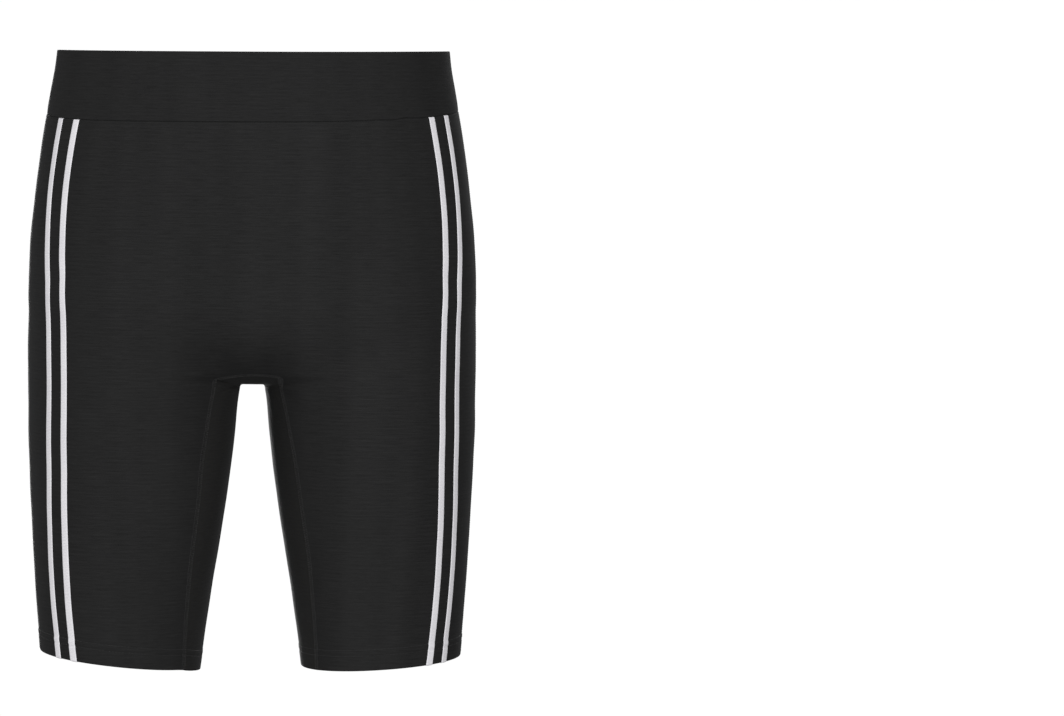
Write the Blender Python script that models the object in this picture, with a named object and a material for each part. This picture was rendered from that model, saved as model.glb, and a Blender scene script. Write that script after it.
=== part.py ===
"""Cycling shorts, filled out and open at the waist and at both leg ends.

Sizes are in millimetres and are turned into metres where a mesh is made. +Z is up,
the front of the shorts faces -Y, and +X is the wearer's left. The origin is the
middle of the waist opening, level with the top edge of the waistband at the wearer's
left side.

The outer face of the cloth is one smooth surface: a torso tube that rounds off below
the hips, joined softly to two leg tubes. Every piece is cut from that surface along
its seams, as a wall with a small gap to its neighbours.
"""

import math

import bmesh
import bpy
import numpy as np

MM = 0.001

# ---------------------------------------------------------------- driving sizes
CLOTH = 1.2  # wall of the knit panels
HEM_CLOTH = 2.2  # wall where the leg end is turned up
BAND_CLOTH = 2.0  # wall of the waistband, two layers of knit
TAPE_CLOTH = 1.0  # wall of a stripe tape
TAPE_WIDTH = 6.4
GAP = 0.3  # between pieces that are sewn together
HEM_DEPTH = 18.0  # how far the leg end is turned up
HEM_STEP = 3.0  # height over which the wall grows to that thickness

TOP_DIP = 0.9  # the top edge is this much lower at the middle than at the sides
TILT = 0.7  # and the band is this much lower at the middle than at the left side
RIGHT_SEAM = (-51.0, 5.2)  # waist seam at the wearer's right side, and its dip to the middle
LEFT_SEAM = (-47.8, 8.4)  # and at the left side
HEM_Z = -492.0  # leg ends, about
RIGHT_HEM = (-492.7, 0.100, 3.2)  # height at 104.5, rise towards the outer side, inner droop
LEFT_HEM = (-494.7, 0.070, 0.0)
CROTCH_SEAM_Z = -259.0  # seam across the front and back of the crotch
CROTCH_CORNER_Z = -262.5  # and where it meets the inner leg seams

SOFT_JOIN = 24.0  # reach of the soft join of the torso tube and the leg tubes
TIGHT_JOIN = 3.0  # and right under the crotch, where it is tighter
DOME_TOP = -190.0  # the torso rounds off from here
DOME_HEIGHT = 80.0  # down to the crotch
DOME_POWER = 2.4
LEG_CAP_TOP = -208.0  # the leg tubes round off above here, inside the torso
LEG_CAP_HEIGHT = 75.0

# Half width, and depth of the front and back halves, of the torso tube.
TORSO_COLUMNS = ("z", "half_width", "front", "back", "power")
TORSO = (
    (20.0, 155.2, 95.0, 97.0, 2.08),
    (0.0, 157.5, 97.0, 98.5, 2.08),
    (-15.0, 159.2, 98.5, 100.0, 2.08),
    (-34.0, 162.7, 100.5, 102.0, 2.08),
    (-58.0, 167.1, 102.5, 105.0, 2.10),
    (-77.0, 170.2, 104.0, 108.0, 2.12),
    (-101.0, 173.3, 105.5, 113.0, 2.16),
    (-125.0, 176.1, 106.5, 118.0, 2.21),
    (-149.0, 178.7, 107.0, 122.0, 2.27),
    (-170.0, 179.9, 107.0, 124.0, 2.32),
    (-190.0, 180.4, 106.5, 124.5, 2.36),
)

# Middle, half width, and depth of the front and back halves, of a leg tube.
LEG_COLUMNS = ("z", "middle", "half_width", "front", "back", "power")
LEG = (
    (-208.0, 94.0, 86.3, 99.0, 117.0, 2.00),
    (-240.0, 94.4, 86.5, 98.5, 112.5, 2.00),
    (-270.0, 95.2, 85.6, 97.0, 105.5, 2.00),
    (-283.0, 96.0, 84.6, 95.5, 102.0, 2.01),
    (-307.0, 97.0, 83.5, 92.5, 95.5, 2.03),
    (-331.0, 97.8, 81.7, 89.5, 90.0, 2.05),
    (-355.0, 99.0, 79.6, 87.0, 85.5, 2.07),
    (-379.0, 100.2, 77.2, 84.5, 81.0, 2.08),
    (-404.0, 101.5, 74.6, 81.5, 78.0, 2.08),
    (-428.0, 102.7, 71.9, 79.0, 75.0, 2.08),
    (-452.0, 103.7, 69.3, 76.5, 72.0, 2.08),
    (-476.0, 104.5, 66.6, 74.0, 69.5, 2.08),
    (-510.0, 105.4, 63.0, 70.5, 66.0, 2.08),
)

# Distance of the inner leg seam from the middle of the shorts. Above the crotch the
# same line is only a row of facets. The front seam sits a little to the wearer's right.
INNER_COLUMNS = ("z", "distance", "shift")
INNER = (
    (0.0, 54.0, 0.0),
    (-58.0, 50.0, 0.0),
    (-150.0, 42.0, 0.6),
    (-220.0, 33.0, 2.0),
    (-250.0, 27.6, 4.2),
    (-263.0, 26.3, 4.8),
    (-282.0, 29.4, 4.6),
    (-296.0, 31.9, 4.3),
    (-331.0, 37.7, 3.6),
    (-363.0, 41.4, 2.7),
    (-411.0, 47.6, 2.0),
    (-450.0, 51.0, 1.6),
    (-492.0, 53.7, 1.3),
    (-510.0, 54.6, 1.2),
)

# Distance round the cloth from the side seam to the middle of the outer stripe of a
# pair, and from there to the middle of the inner one, on the front and on the back.
STRIPE_COLUMNS = ("z", "front", "front_pitch", "back", "back_pitch")
STRIPE = (
    (0.0, 43.7, 19.9, 43.7, 20.0),
    (-40.0, 44.0, 19.8, 44.6, 20.0),
    (-77.0, 45.1, 19.6, 46.9, 20.1),
    (-104.0, 46.0, 19.7, 49.4, 20.6),
    (-128.0, 48.6, 19.3, 53.9, 20.7),
    (-152.0, 52.7, 18.6, 60.1, 20.1),
    (-176.0, 56.1, 18.2, 64.9, 19.9),
    (-190.0, 58.3, 19.1, 68.3, 21.2),
    (-202.0, 60.9, 19.5, 71.6, 21.7),
    (-220.0, 62.6, 19.2, 73.3, 21.1),
    (-235.0, 63.5, 18.9, 72.9, 20.5),
    (-260.0, 63.7, 18.7, 70.3, 19.8),
    (-283.0, 62.8, 18.6, 66.9, 19.3),
    (-331.0, 59.1, 18.3, 59.4, 18.4),
    (-379.0, 55.3, 18.3, 53.0, 17.9),
    (-428.0, 52.4, 18.0, 49.8, 17.5),
    (-476.0, 52.3, 17.0, 49.4, 16.5),
    (-510.0, 52.7, 16.8, 49.8, 16.3),
)

# Facets.
BAND_ROWS = 3
TORSO_ROWS = 11
LEG_ROWS = 11
MIDDLE_COLS = 3  # from the middle to the line of the inner leg seam
PANEL_COLS = 6  # from there to the inner stripe
SIDE_COLS = 3  # from the outer stripe to the side seam
GUSSET_COLS = 8  # from the front seam to the back seam

# One row for each piece: colour, roughness.
FINISH_COLUMNS = ("name", "colour", "roughness")
FINISH = (
    ("waistband", (0.021, 0.021, 0.021, 1.0), 0.78),
    ("front_panel", (0.022, 0.022, 0.022, 1.0), 0.75),
    ("back_panel", (0.022, 0.022, 0.022, 1.0), 0.75),
    ("gusset", (0.018, 0.018, 0.018, 1.0), 0.80),
    ("stripe", (0.80, 0.79, 0.82, 1.0), 0.60),
)


# ---------------------------------------------------------------- tables
def smooth_table(rows, names, level_at=None):
    """A function of (column name, z) that reads a table along a smooth curve, which is
    level at the height level_at, where the tube goes on straight."""
    table = np.array(rows, float)
    table = table[np.argsort(table[:, 0])]
    z = table[:, 0]
    slopes = {}
    for k, name in enumerate(names):
        v = table[:, k]
        step = np.diff(v) / np.diff(z)
        m = np.empty_like(v)
        m[0], m[-1] = step[0], step[-1]
        h = np.diff(z)
        m[1:-1] = (step[:-1] * h[1:] + step[1:] * h[:-1]) / (h[1:] + h[:-1])
        if level_at is not None:
            m[z == level_at] = 0.0
        slopes[name] = (v, m)

    def read(name, at):
        v, m = slopes[name]
        at = np.clip(np.asarray(at, float), z[0], z[-1])
        i = np.clip(np.searchsorted(z, at) - 1, 0, len(z) - 2)
        h = z[i + 1] - z[i]
        t = (at - z[i]) / h
        return (
            v[i] * (1 + 2 * t) * (1 - t) ** 2
            + v[i + 1] * t**2 * (3 - 2 * t)
            + h * m[i] * t * (1 - t) ** 2
            - h * m[i + 1] * t**2 * (1 - t)
        )

    return read


torso = smooth_table(TORSO, TORSO_COLUMNS, level_at=DOME_TOP)
leg = smooth_table(LEG, LEG_COLUMNS, level_at=LEG_CAP_TOP)
inner_line = smooth_table(INNER, INNER_COLUMNS)
stripe_line = smooth_table(STRIPE, STRIPE_COLUMNS)


# ---------------------------------------------------------------- outer surface
def oval(x, y, half_width, front, back, power):
    """1 on the oval, less inside it and more outside."""
    depth = np.where(y < 0, front, back)
    inside = (np.abs(x) / half_width) ** power + (np.abs(y) / depth) ** power
    return np.maximum(inside, 1e-12) ** (1 / power)


def torso_value(p):
    z = np.maximum(p[:, 2], DOME_TOP)
    level = oval(p[:, 0], p[:, 1], *(torso(c, z) for c in TORSO_COLUMNS[1:]))
    below = np.maximum(DOME_TOP - p[:, 2], 0.0) / DOME_HEIGHT
    return (level**DOME_POWER + below**DOME_POWER) ** (1 / DOME_POWER) - 1


def leg_value(p, side):
    z = np.minimum(p[:, 2], LEG_CAP_TOP)
    x = side * p[:, 0] - leg("middle", z)
    level = oval(x, p[:, 1], *(leg(c, z) for c in LEG_COLUMNS[2:]))
    above = np.maximum(p[:, 2] - LEG_CAP_TOP, 0.0) / LEG_CAP_HEIGHT
    return np.sqrt(level**2 + above**2) - 1


def gradient(f, p, h):
    g = np.empty_like(p)
    for k in range(3):
        step = np.zeros(3)
        step[k] = h
        g[:, k] = (f(p + step) - f(p - step)) / (2 * h)
    return g


def distance(f, p):
    """Nearly the distance to where f is 0."""
    return f(p) / np.maximum(np.linalg.norm(gradient(f, p, 0.2), axis=1), 1e-6)


def soft_min(a, b, reach):
    h = np.clip(0.5 + 0.5 * (b - a) / reach, 0, 1)
    return b * (1 - h) + a * h - reach * h * (1 - h)


def ease(t):
    t = np.clip(t, 0, 1)
    return t * t * (3 - 2 * t)


def surface(p):
    """Nearly the distance from the outer face of the cloth, less than 0 inside."""
    legs = soft_min(
        distance(lambda q: leg_value(q, 1), p),
        distance(lambda q: leg_value(q, -1), p),
        TIGHT_JOIN,
    )
    # Tight right under the crotch, softest in the fold of the groin, less so at the sides.
    soft = ease((p[:, 2] + 271.0) / 13.0) * (1 - ease((np.abs(p[:, 0]) - 95.0) / 70.0))
    reach = TIGHT_JOIN + (SOFT_JOIN - TIGHT_JOIN) * soft
    return soft_min(distance(torso_value, p), legs, reach)


def onto_surface(p, free=(1.0, 1.0, 1.0), steps=6):
    """Moves points onto the outer face, along the directions that free leaves open."""
    p = np.array(p, float)
    shape = p.shape
    p = p.reshape(-1, 3)
    for _ in range(steps):
        g = gradient(surface, p, 0.5) * np.array(free)
        size = np.maximum((g**2).sum(axis=1), 0.05)
        p = p - (surface(p) / size)[:, None] * g
    return p.reshape(shape)


def outward(p):
    shape = p.shape
    g = gradient(surface, p.reshape(-1, 3), 1.0)
    g /= np.linalg.norm(g, axis=1)[:, None]
    return g.reshape(shape)


def level_curves(levels, back, count=181):
    """Half of the section at each height, from the middle or the inner leg to the side."""
    on_leg = levels < LEG_LEVEL
    middle = np.where(on_leg, leg("middle", levels), 0.0)
    start = np.where(on_leg, math.pi, math.pi / 2)
    turn = start[:, None] * np.linspace(1.0, 0.0, count) * (1 if back else -1)
    ray = np.stack([np.cos(turn), np.sin(turn), np.zeros_like(turn)], axis=2)
    origin = np.stack([middle, 0 * middle, levels], axis=1)[:, None, :]
    # A ray round a leg stops at the middle of the shorts, short of the other leg.
    to_middle = middle[:, None] / np.maximum(-ray[..., 0], 1e-3)
    near = np.full(turn.shape, 2.0)
    far = np.where(on_leg[:, None], np.minimum(to_middle, 230.0), 230.0)
    for _ in range(24):
        reach = (near + far) / 2
        points = origin + ray * reach[..., None]
        inside = surface(points.reshape(-1, 3)).reshape(turn.shape) < 0
        near, far = np.where(inside, reach, near), np.where(inside, far, reach)
    return origin + ray * near[..., None]


# ---------------------------------------------------------------- lines on the surface
def tilt(x):
    """The waistband sits a little lower towards the wearer's right."""
    return -TILT * (1 - x / 160.0)


def waist_seam(share, x):
    """Height of the waist seam. share is 1 at the middle and 0 at the sides. It drops
    soon at the wearer's right side, and evenly at the left."""
    right = RIGHT_SEAM[0] - RIGHT_SEAM[1] * (1 - (1 - share) ** 1.9)
    left = LEFT_SEAM[0] - LEFT_SEAM[1] * share**1.05
    return np.where(x < 0, right, left) + tilt(x)


def top_edge(share, x):
    return -TOP_DIP * share**1.5 + tilt(x)


def hem_height(x, side=None):
    """Height of the leg end. Without a side, x is less than 0 on the right leg."""
    right = x < 0 if side is None else side < 0
    x = np.abs(x)
    z, rise, droop = (np.where(right, a, b) for a, b in zip(RIGHT_HEM, LEFT_HEM))
    return z + rise * (x - 104.5) - droop * (np.maximum(60.0 - x, 0.0) / 18.0) ** 2


def crotch_line(x):
    """Height of the row that passes through the seam across the crotch."""
    x = np.minimum(np.abs(x), 60.0)
    to_corner = np.clip(x / 30.0, 0, 1)
    past = np.clip((x - 30.0) / 30.0, 0, 1)
    return CROTCH_SEAM_Z + (CROTCH_CORNER_Z - CROTCH_SEAM_Z) * to_corner**2 + 1.5 * past


def stations(curve, side, back):
    """Points of every column at one height, from the middle or inner seam to the side."""
    z = curve[0, 2]
    run = np.concatenate([[0], np.cumsum(np.linalg.norm(np.diff(curve, axis=0), axis=1))])

    def at_x(x):
        return float(np.interp(x, curve[:, 0], run))

    shift = 0.0 if back else -side * float(inner_line("shift", z))
    inner = at_x(float(inner_line("distance", z)) + shift)
    where = "back" if back else "front"
    outer_stripe = run[-1] - float(stripe_line(where, z))
    middles = [outer_stripe - float(stripe_line(where + "_pitch", z)), outer_stripe]
    marks = [inner]
    for m in middles:
        marks += [m - TAPE_WIDTH / 2, m + TAPE_WIDTH / 2]
    marks.append(run[-1])
    counts = (PANEL_COLS, 1, 1, 1, SIDE_COLS)
    stops = list(np.linspace(0.0, inner, MIDDLE_COLS + 1)[:-1])
    for a, b, n in zip(marks[:-1], marks[1:], counts):
        stops += list(np.linspace(a, b, n + 1)[:-1])
    stops.append(marks[-1])
    return np.stack([np.interp(stops, run, curve[:, k]) for k in range(3)], axis=1)


# ---------------------------------------------------------------- panel grids
COLS = MIDDLE_COLS + PANEL_COLS + 3 + SIDE_COLS  # quads from the middle to the side
ROWS = TORSO_ROWS + LEG_ROWS
LEG_START = MIDDLE_COLS  # the column of the inner leg seam
FIRST_STRIPE = MIDDLE_COLS + PANEL_COLS  # the inner stripe's column of quads
LEG_LEVEL = -268.2  # sections below this go round one leg
LEVELS = np.concatenate(
    [
        np.linspace(30.0, -240.0, 28),
        np.linspace(-244.0, -268.0, 13),
        np.linspace(-268.5, -300.0, 10),
        np.linspace(-310.0, -508.0, 19),
    ]
)
TORSO_SHARES = 1 - (1 - np.arange(TORSO_ROWS + 1) / TORSO_ROWS) ** 1.4
LEG_SHARES = (np.arange(LEG_ROWS - 1) / (LEG_ROWS - 2)) ** 1.2


def half_grid(curves, side, back):
    """Rows by columns of points on the outer face, and the same for the waistband."""
    table = np.stack([stations(curve, side, back) for curve in curves])
    falling = -LEVELS

    def column(j, z):
        x, y = (np.interp(-z, falling, table[:, j, k]) for k in range(2))
        return np.array([x, y, z])

    grid = np.zeros((ROWS + 1, COLS + 1, 3))
    band = np.zeros((BAND_ROWS + 1, COLS + 1, 3))
    for j in range(COLS + 1):
        at_seam = column(j, -50.0)
        share = abs(at_seam[1]) / abs(table[10, 0, 1])
        share = min(share, 1.0)
        top = float(waist_seam(share, side * at_seam[0]))
        edge = float(top_edge(share, side * at_seam[0]))
        # Rows are closer together by the crotch, and two mark the turned-up hem.
        low = float(crotch_line(column(j, CROTCH_CORNER_Z)[0]))
        for i, down in enumerate(TORSO_SHARES):
            grid[i, j] = column(j, top + (low - top) * down)
        hem = float(hem_height(column(j, HEM_Z)[0], side))
        turned = hem + HEM_DEPTH
        for i, down in enumerate(LEG_SHARES):
            grid[TORSO_ROWS + i, j] = column(j, low + (turned + HEM_STEP - low) * down)
        grid[ROWS - 1, j] = column(j, turned)
        grid[ROWS, j] = column(j, hem)
        for i in range(BAND_ROWS + 1):
            band[i, j] = column(j, edge + (top - edge) * i / BAND_ROWS)
    mirror = np.array([side, 1.0, 1.0])
    grid, band = grid * mirror, band * mirror
    grid[:, 0, 0] = band[:, 0, 0] = 0.0
    upper = onto_surface(grid, (1, 1, 0))
    # The side line stays at the middle of the depth, and the middle line at the middle.
    band = onto_surface(band, (1, 1, 0))
    upper[:, 0, 0] = band[:, 0, 0] = 0.0
    return upper, band


def both_halves(back):
    curves = level_curves(LEVELS, back)
    right, right_band = half_grid(curves, -1, back)
    left, left_band = half_grid(curves, 1, back)
    grid = np.concatenate([right[:, :0:-1], left], axis=1)
    band = np.concatenate([right_band[:, :0:-1], left_band], axis=1)
    return grid, band


# ---------------------------------------------------------------- solids
def quad_split(a, b, c, d):
    return [(a, b, c), (a, c, d)]


def wall(name, outer, inner, quads, finish):
    """One closed body from a grid of outer points, a grid of inner points and the quads
    that exist, given as the (row, column) of their first corner."""
    cols = outer.shape[1]
    used, points = {}, []

    def vertex(face, r, c):
        key = (face, r, c)
        if key not in used:
            used[key] = len(points)
            points.append((outer if face == 0 else inner)[r, c % cols])
        return used[key]

    wrap = any(c + 1 >= cols for _, c in quads)

    def corner(face, r, c):
        return vertex(face, r, c % cols if wrap else c)

    faces, edges = [], {}
    for r, c in quads:
        ring = [(r, c), (r + 1, c), (r + 1, c + 1), (r, c + 1)]
        ring = [(a, b % cols if wrap else b) for a, b in ring]
        faces += quad_split(*(corner(0, *k) for k in ring))
        faces += [t[::-1] for t in quad_split(*(corner(1, *k) for k in ring))]
        for a, b in zip(ring, ring[1:] + ring[:1]):
            edges[(a, b)] = edges.get((a, b), 0) + 1
    for a, b in edges:
        if (b, a) not in edges:
            # The split starts at the lower end, as it does on the piece across the gap.
            step = outer[b[0], b[1] % cols] - outer[a[0], a[1] % cols]
            start = step[2] > 0 if abs(step[2]) > 0.4 else step[0] > 0
            ring = [corner(0, *b), corner(0, *a), corner(1, *a), corner(1, *b)]
            faces += quad_split(*(ring[1:] + ring[:1] if start else ring))
    mesh = bpy.data.meshes.new(name)
    mesh.from_pydata([tuple(float(v) * MM for v in q) for q in points], [], faces)
    mesh.validate()
    bm = bmesh.new()
    bm.from_mesh(mesh)
    bmesh.ops.recalc_face_normals(bm, faces=bm.faces)
    if bm.calc_volume(signed=True) < 0:
        bmesh.ops.reverse_faces(bm, faces=bm.faces)
    bm.to_mesh(mesh)
    bm.free()
    mesh.shade_smooth()
    mesh.set_sharp_from_angle(angle=math.radians(40))
    obj = bpy.data.objects.new(name, mesh)
    bpy.context.scene.collection.objects.link(obj)
    obj.data.materials.append(finish)
    return obj


def material(name):
    row = next(r for r in FINISH if name.startswith(r[0]))
    made = bpy.data.materials.new(name)
    made.use_nodes = True
    shader = made.node_tree.nodes["Principled BSDF"]
    shader.inputs["Base Color"].default_value = row[1]
    shader.inputs["Roughness"].default_value = row[2]
    shader.inputs["Metallic"].default_value = 0.0
    made.diffuse_color = row[1]
    return made


def pulled_in(grid, rows=(), cols=(), amount=GAP / 2):
    """Moves the named edge rows or columns towards their neighbours, for the gap."""
    out = grid.copy()
    for edge, beside in rows:
        step = grid[beside] - grid[edge]
        out[edge] += amount * step / np.linalg.norm(step, axis=-1)[..., None]
    for edge, beside in cols:
        step = grid[:, beside] - grid[:, edge]
        out[:, edge] += amount * step / np.linalg.norm(step, axis=-1)[..., None]
    return out


def thickness(rows):
    """The wall at each row of a panel: more where the leg end is turned up."""
    return np.where(np.array(rows) >= ROWS - 1, HEM_CLOTH, CLOTH)


def panel(name, grid):
    """Front or back: both legs in one piece."""
    middle = COLS  # the column at the middle, in the grid of both halves
    first, last = middle - LEG_START, middle + LEG_START
    outer = pulled_in(
        grid, rows=((0, 1),), cols=((0, 1), (2 * COLS, 2 * COLS - 1))
    )
    # The edge along the gusset: the crotch row between the two corners, and both seams.
    gap = GAP / 2
    row = TORSO_ROWS
    for c in range(first, last + 1):
        step = grid[row - 1, c] - grid[row, c]
        outer[row, c] += gap * step / np.linalg.norm(step)
    for c, beside in ((first, first - 1), (last, last + 1)):
        for r in range(row, ROWS + 1):
            step = grid[r, beside] - grid[r, c]
            outer[r, c] += gap * step / np.linalg.norm(step)
    quads = [
        (r, c)
        for r in range(ROWS)
        for c in range(2 * COLS)
        if r < row or not first <= c < last
    ]
    normals = outward(grid)
    inner = outer - normals * thickness(range(ROWS + 1))[:, None, None]
    return wall(name, outer, inner, quads, material(name)), outer, normals


def waistband(front, back):
    """One ring, from the top edge to the waist seam."""
    # Round from the wearer's right along the front, then back along the back.
    ring = np.concatenate([front[:, :-1], back[:, ::-1][:, :-1]], axis=1)
    outer = ring.copy()
    outer[-1] += (0, 0, GAP / 2)
    inner = outer - outward(outer) * BAND_CLOTH
    quads = [(r, c) for r in range(BAND_ROWS) for c in range(ring.shape[1])]
    return wall("waistband", outer, inner, quads, material("waistband"))


def stripe(name, outer, normals, column):
    """A tape along one column of the panel's quads, made from the panel's own points."""
    points, out = outer[:, column : column + 2], normals[:, column : column + 2]
    lower = points + out * GAP
    upper = points + out * (GAP + TAPE_CLOTH)
    quads = [(r, 0) for r in range(ROWS)]
    return wall(name, upper, lower, quads, material(name))


def gusset(front, back):
    """One strip: inner side of the right leg, crotch, inner side of the left leg."""
    first, last = COLS - LEG_START, COLS + LEG_START
    rows = list(range(ROWS, TORSO_ROWS, -1))
    path = [(r, first) for r in rows]
    path += [(TORSO_ROWS, c) for c in range(first, last + 1)]
    path += [(r, last) for r in reversed(rows)]
    across = np.linspace(0.0, 1.0, GUSSET_COLS + 1)
    grid = np.zeros((len(path), GUSSET_COLS + 1, 3))
    for k, (r, c) in enumerate(path):
        a, b = front[r, c], back[r, c]
        turn = across * math.pi
        y = (a[1] + b[1]) / 2 - (b[1] - a[1]) / 2 * np.cos(turn)
        lift = np.sin(turn)
        x = a[0] + (b[0] - a[0]) * across
        z = a[2] + (b[2] - a[2]) * across
        side = 1.0 if c > COLS else -1.0
        if r > TORSO_ROWS:
            # Round the inner side of the leg.
            target = side * (leg("middle", z) - leg("half_width", z))
            x = x + (target - x) * lift
        else:
            # Under the crotch, from a flat bridge to the top of each leg's inner side.
            out = abs(c - COLS) / LEG_START
            x = x + (side * 9.0 * out - x) * lift
            z = z + (-270.0 - 2.5 * out**3 - z) * lift
        grid[k] = np.stack([x, y, z], axis=1)
        grid[k, 0], grid[k, -1] = a, b
    fixed = grid.copy()
    for k, (r, c) in enumerate(path):
        free = (1, 1, 0) if r > TORSO_ROWS + 1 else (1, 1, 1)
        grid[k] = onto_surface(grid[k], free)
    grid[:, 0], grid[:, -1] = fixed[:, 0], fixed[:, -1]
    outer = pulled_in(
        grid, cols=((0, 1), (GUSSET_COLS, GUSSET_COLS - 1))
    )
    normals = outward(grid)
    inner = outer - normals * thickness([r for r, c in path])[:, None, None]
    quads = [(r, c) for r in range(len(path) - 1) for c in range(GUSSET_COLS)]
    return wall("gusset", outer, inner, quads, material("gusset"))


def main():
    for obj in list(bpy.data.objects):
        bpy.data.objects.remove(obj, do_unlink=True)

    front, front_band = both_halves(back=False)
    back, back_band = both_halves(back=True)
    # Both panels share the side line and both bands share it too.
    for a, b in ((front, back), (front_band, back_band)):
        for c in (0, -1):
            a[:, c] = b[:, c] = (a[:, c] + b[:, c]) / 2

    _, front_points, front_out = panel("front_panel", front)
    _, back_points, back_out = panel("back_panel", back)
    waistband(front_band, back_band)
    gusset(front, back)
    for where, points, out in (
        ("front", front_points, front_out),
        ("back", back_points, back_out),
    ):
        for side, sign in (("right", -1), ("left", 1)):
            for place, step in (("inner", 0), ("outer", 2)):
                k = FIRST_STRIPE + step
                column = COLS + k if sign > 0 else COLS - k - 1
                stripe(f"stripe_{where}_{side}_{place}", points, out, column)


main()
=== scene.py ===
"""Looks of the cycling shorts: knit panels, seams, tapes, stitches, light and camera.

Sizes are in millimetres until a mesh is made. The outer face of the cloth is the same
smooth surface that the solids were cut from, so the tables and the functions for it
are repeated here. Each piece of cloth is a thin shell on that surface.
"""

import math

import bpy
import numpy as np
from mathutils import Matrix, Vector
from mathutils.bvhtree import BVHTree


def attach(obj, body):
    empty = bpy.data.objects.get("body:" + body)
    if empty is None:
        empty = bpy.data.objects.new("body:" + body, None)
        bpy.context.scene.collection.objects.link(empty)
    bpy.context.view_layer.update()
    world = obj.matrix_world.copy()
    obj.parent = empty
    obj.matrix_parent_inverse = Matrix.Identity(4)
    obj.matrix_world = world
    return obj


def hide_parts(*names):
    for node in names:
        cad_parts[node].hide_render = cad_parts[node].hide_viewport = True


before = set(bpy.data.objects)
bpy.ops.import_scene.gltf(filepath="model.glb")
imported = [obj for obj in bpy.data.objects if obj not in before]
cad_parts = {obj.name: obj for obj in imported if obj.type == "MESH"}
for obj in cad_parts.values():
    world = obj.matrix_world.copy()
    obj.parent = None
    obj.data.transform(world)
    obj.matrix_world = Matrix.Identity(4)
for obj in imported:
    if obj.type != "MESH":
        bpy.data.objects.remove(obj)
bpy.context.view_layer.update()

MM = 0.001

# ---------------------------------------------------------------- sizes of the solids
TAPE_WIDTH = 6.4
HEM_DEPTH = 18.0
TOP_DIP = 0.9
TILT = 0.7
RIGHT_SEAM = (-51.0, 5.2)
LEFT_SEAM = (-47.8, 8.4)
HEM_Z = -492.0
RIGHT_HEM = (-492.7, 0.100, 3.2)
LEFT_HEM = (-494.7, 0.070, 0.0)
CROTCH_SEAM_Z = -259.0
CROTCH_CORNER_Z = -262.5
SOFT_JOIN = 24.0
TIGHT_JOIN = 3.0
DOME_TOP = -190.0
DOME_HEIGHT = 80.0
DOME_POWER = 2.4
LEG_CAP_TOP = -208.0
LEG_CAP_HEIGHT = 75.0
LEG_LEVEL = -268.2

# ---------------------------------------------------------------- sizes of the looks
KNIT = 0.8  # body cloth
DOUBLE = 1.7  # two layers: the waistband and the turned-up hem
TAPE = 0.42  # how far a stripe tape stands out
THREAD = 0.11  # radius of a seam thread
FLAT_SEAM = 2.25  # half width of a flat seam's ladder
STITCH = 1.9  # length of one stitch of a flat seam
HEM_STITCH = 2.6
HEM_ROWS = (17.2, 12.4)  # heights of the two rows of hem stitches above the leg end

TORSO_COLUMNS = ("z", "half_width", "front", "back", "power")
TORSO = (
    (20.0, 155.2, 95.0, 97.0, 2.08),
    (0.0, 157.5, 97.0, 98.5, 2.08),
    (-15.0, 159.2, 98.5, 100.0, 2.08),
    (-34.0, 162.7, 100.5, 102.0, 2.08),
    (-58.0, 167.1, 102.5, 105.0, 2.10),
    (-77.0, 170.2, 104.0, 108.0, 2.12),
    (-101.0, 173.3, 105.5, 113.0, 2.16),
    (-125.0, 176.1, 106.5, 118.0, 2.21),
    (-149.0, 178.7, 107.0, 122.0, 2.27),
    (-170.0, 179.9, 107.0, 124.0, 2.32),
    (-190.0, 180.4, 106.5, 124.5, 2.36),
)

LEG_COLUMNS = ("z", "middle", "half_width", "front", "back", "power")
LEG = (
    (-208.0, 94.0, 86.3, 99.0, 117.0, 2.00),
    (-240.0, 94.4, 86.5, 98.5, 112.5, 2.00),
    (-270.0, 95.2, 85.6, 97.0, 105.5, 2.00),
    (-283.0, 96.0, 84.6, 95.5, 102.0, 2.01),
    (-307.0, 97.0, 83.5, 92.5, 95.5, 2.03),
    (-331.0, 97.8, 81.7, 89.5, 90.0, 2.05),
    (-355.0, 99.0, 79.6, 87.0, 85.5, 2.07),
    (-379.0, 100.2, 77.2, 84.5, 81.0, 2.08),
    (-404.0, 101.5, 74.6, 81.5, 78.0, 2.08),
    (-428.0, 102.7, 71.9, 79.0, 75.0, 2.08),
    (-452.0, 103.7, 69.3, 76.5, 72.0, 2.08),
    (-476.0, 104.5, 66.6, 74.0, 69.5, 2.08),
    (-510.0, 105.4, 63.0, 70.5, 66.0, 2.08),
)

INNER_COLUMNS = ("z", "distance", "shift")
INNER = (
    (0.0, 54.0, 0.0),
    (-58.0, 50.0, 0.0),
    (-150.0, 42.0, 0.6),
    (-220.0, 33.0, 2.0),
    (-250.0, 27.6, 4.2),
    (-263.0, 26.3, 4.8),
    (-282.0, 29.4, 4.6),
    (-296.0, 31.9, 4.3),
    (-331.0, 37.7, 3.6),
    (-363.0, 41.4, 2.7),
    (-411.0, 47.6, 2.0),
    (-450.0, 51.0, 1.6),
    (-492.0, 53.7, 1.3),
    (-510.0, 54.6, 1.2),
)

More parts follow.
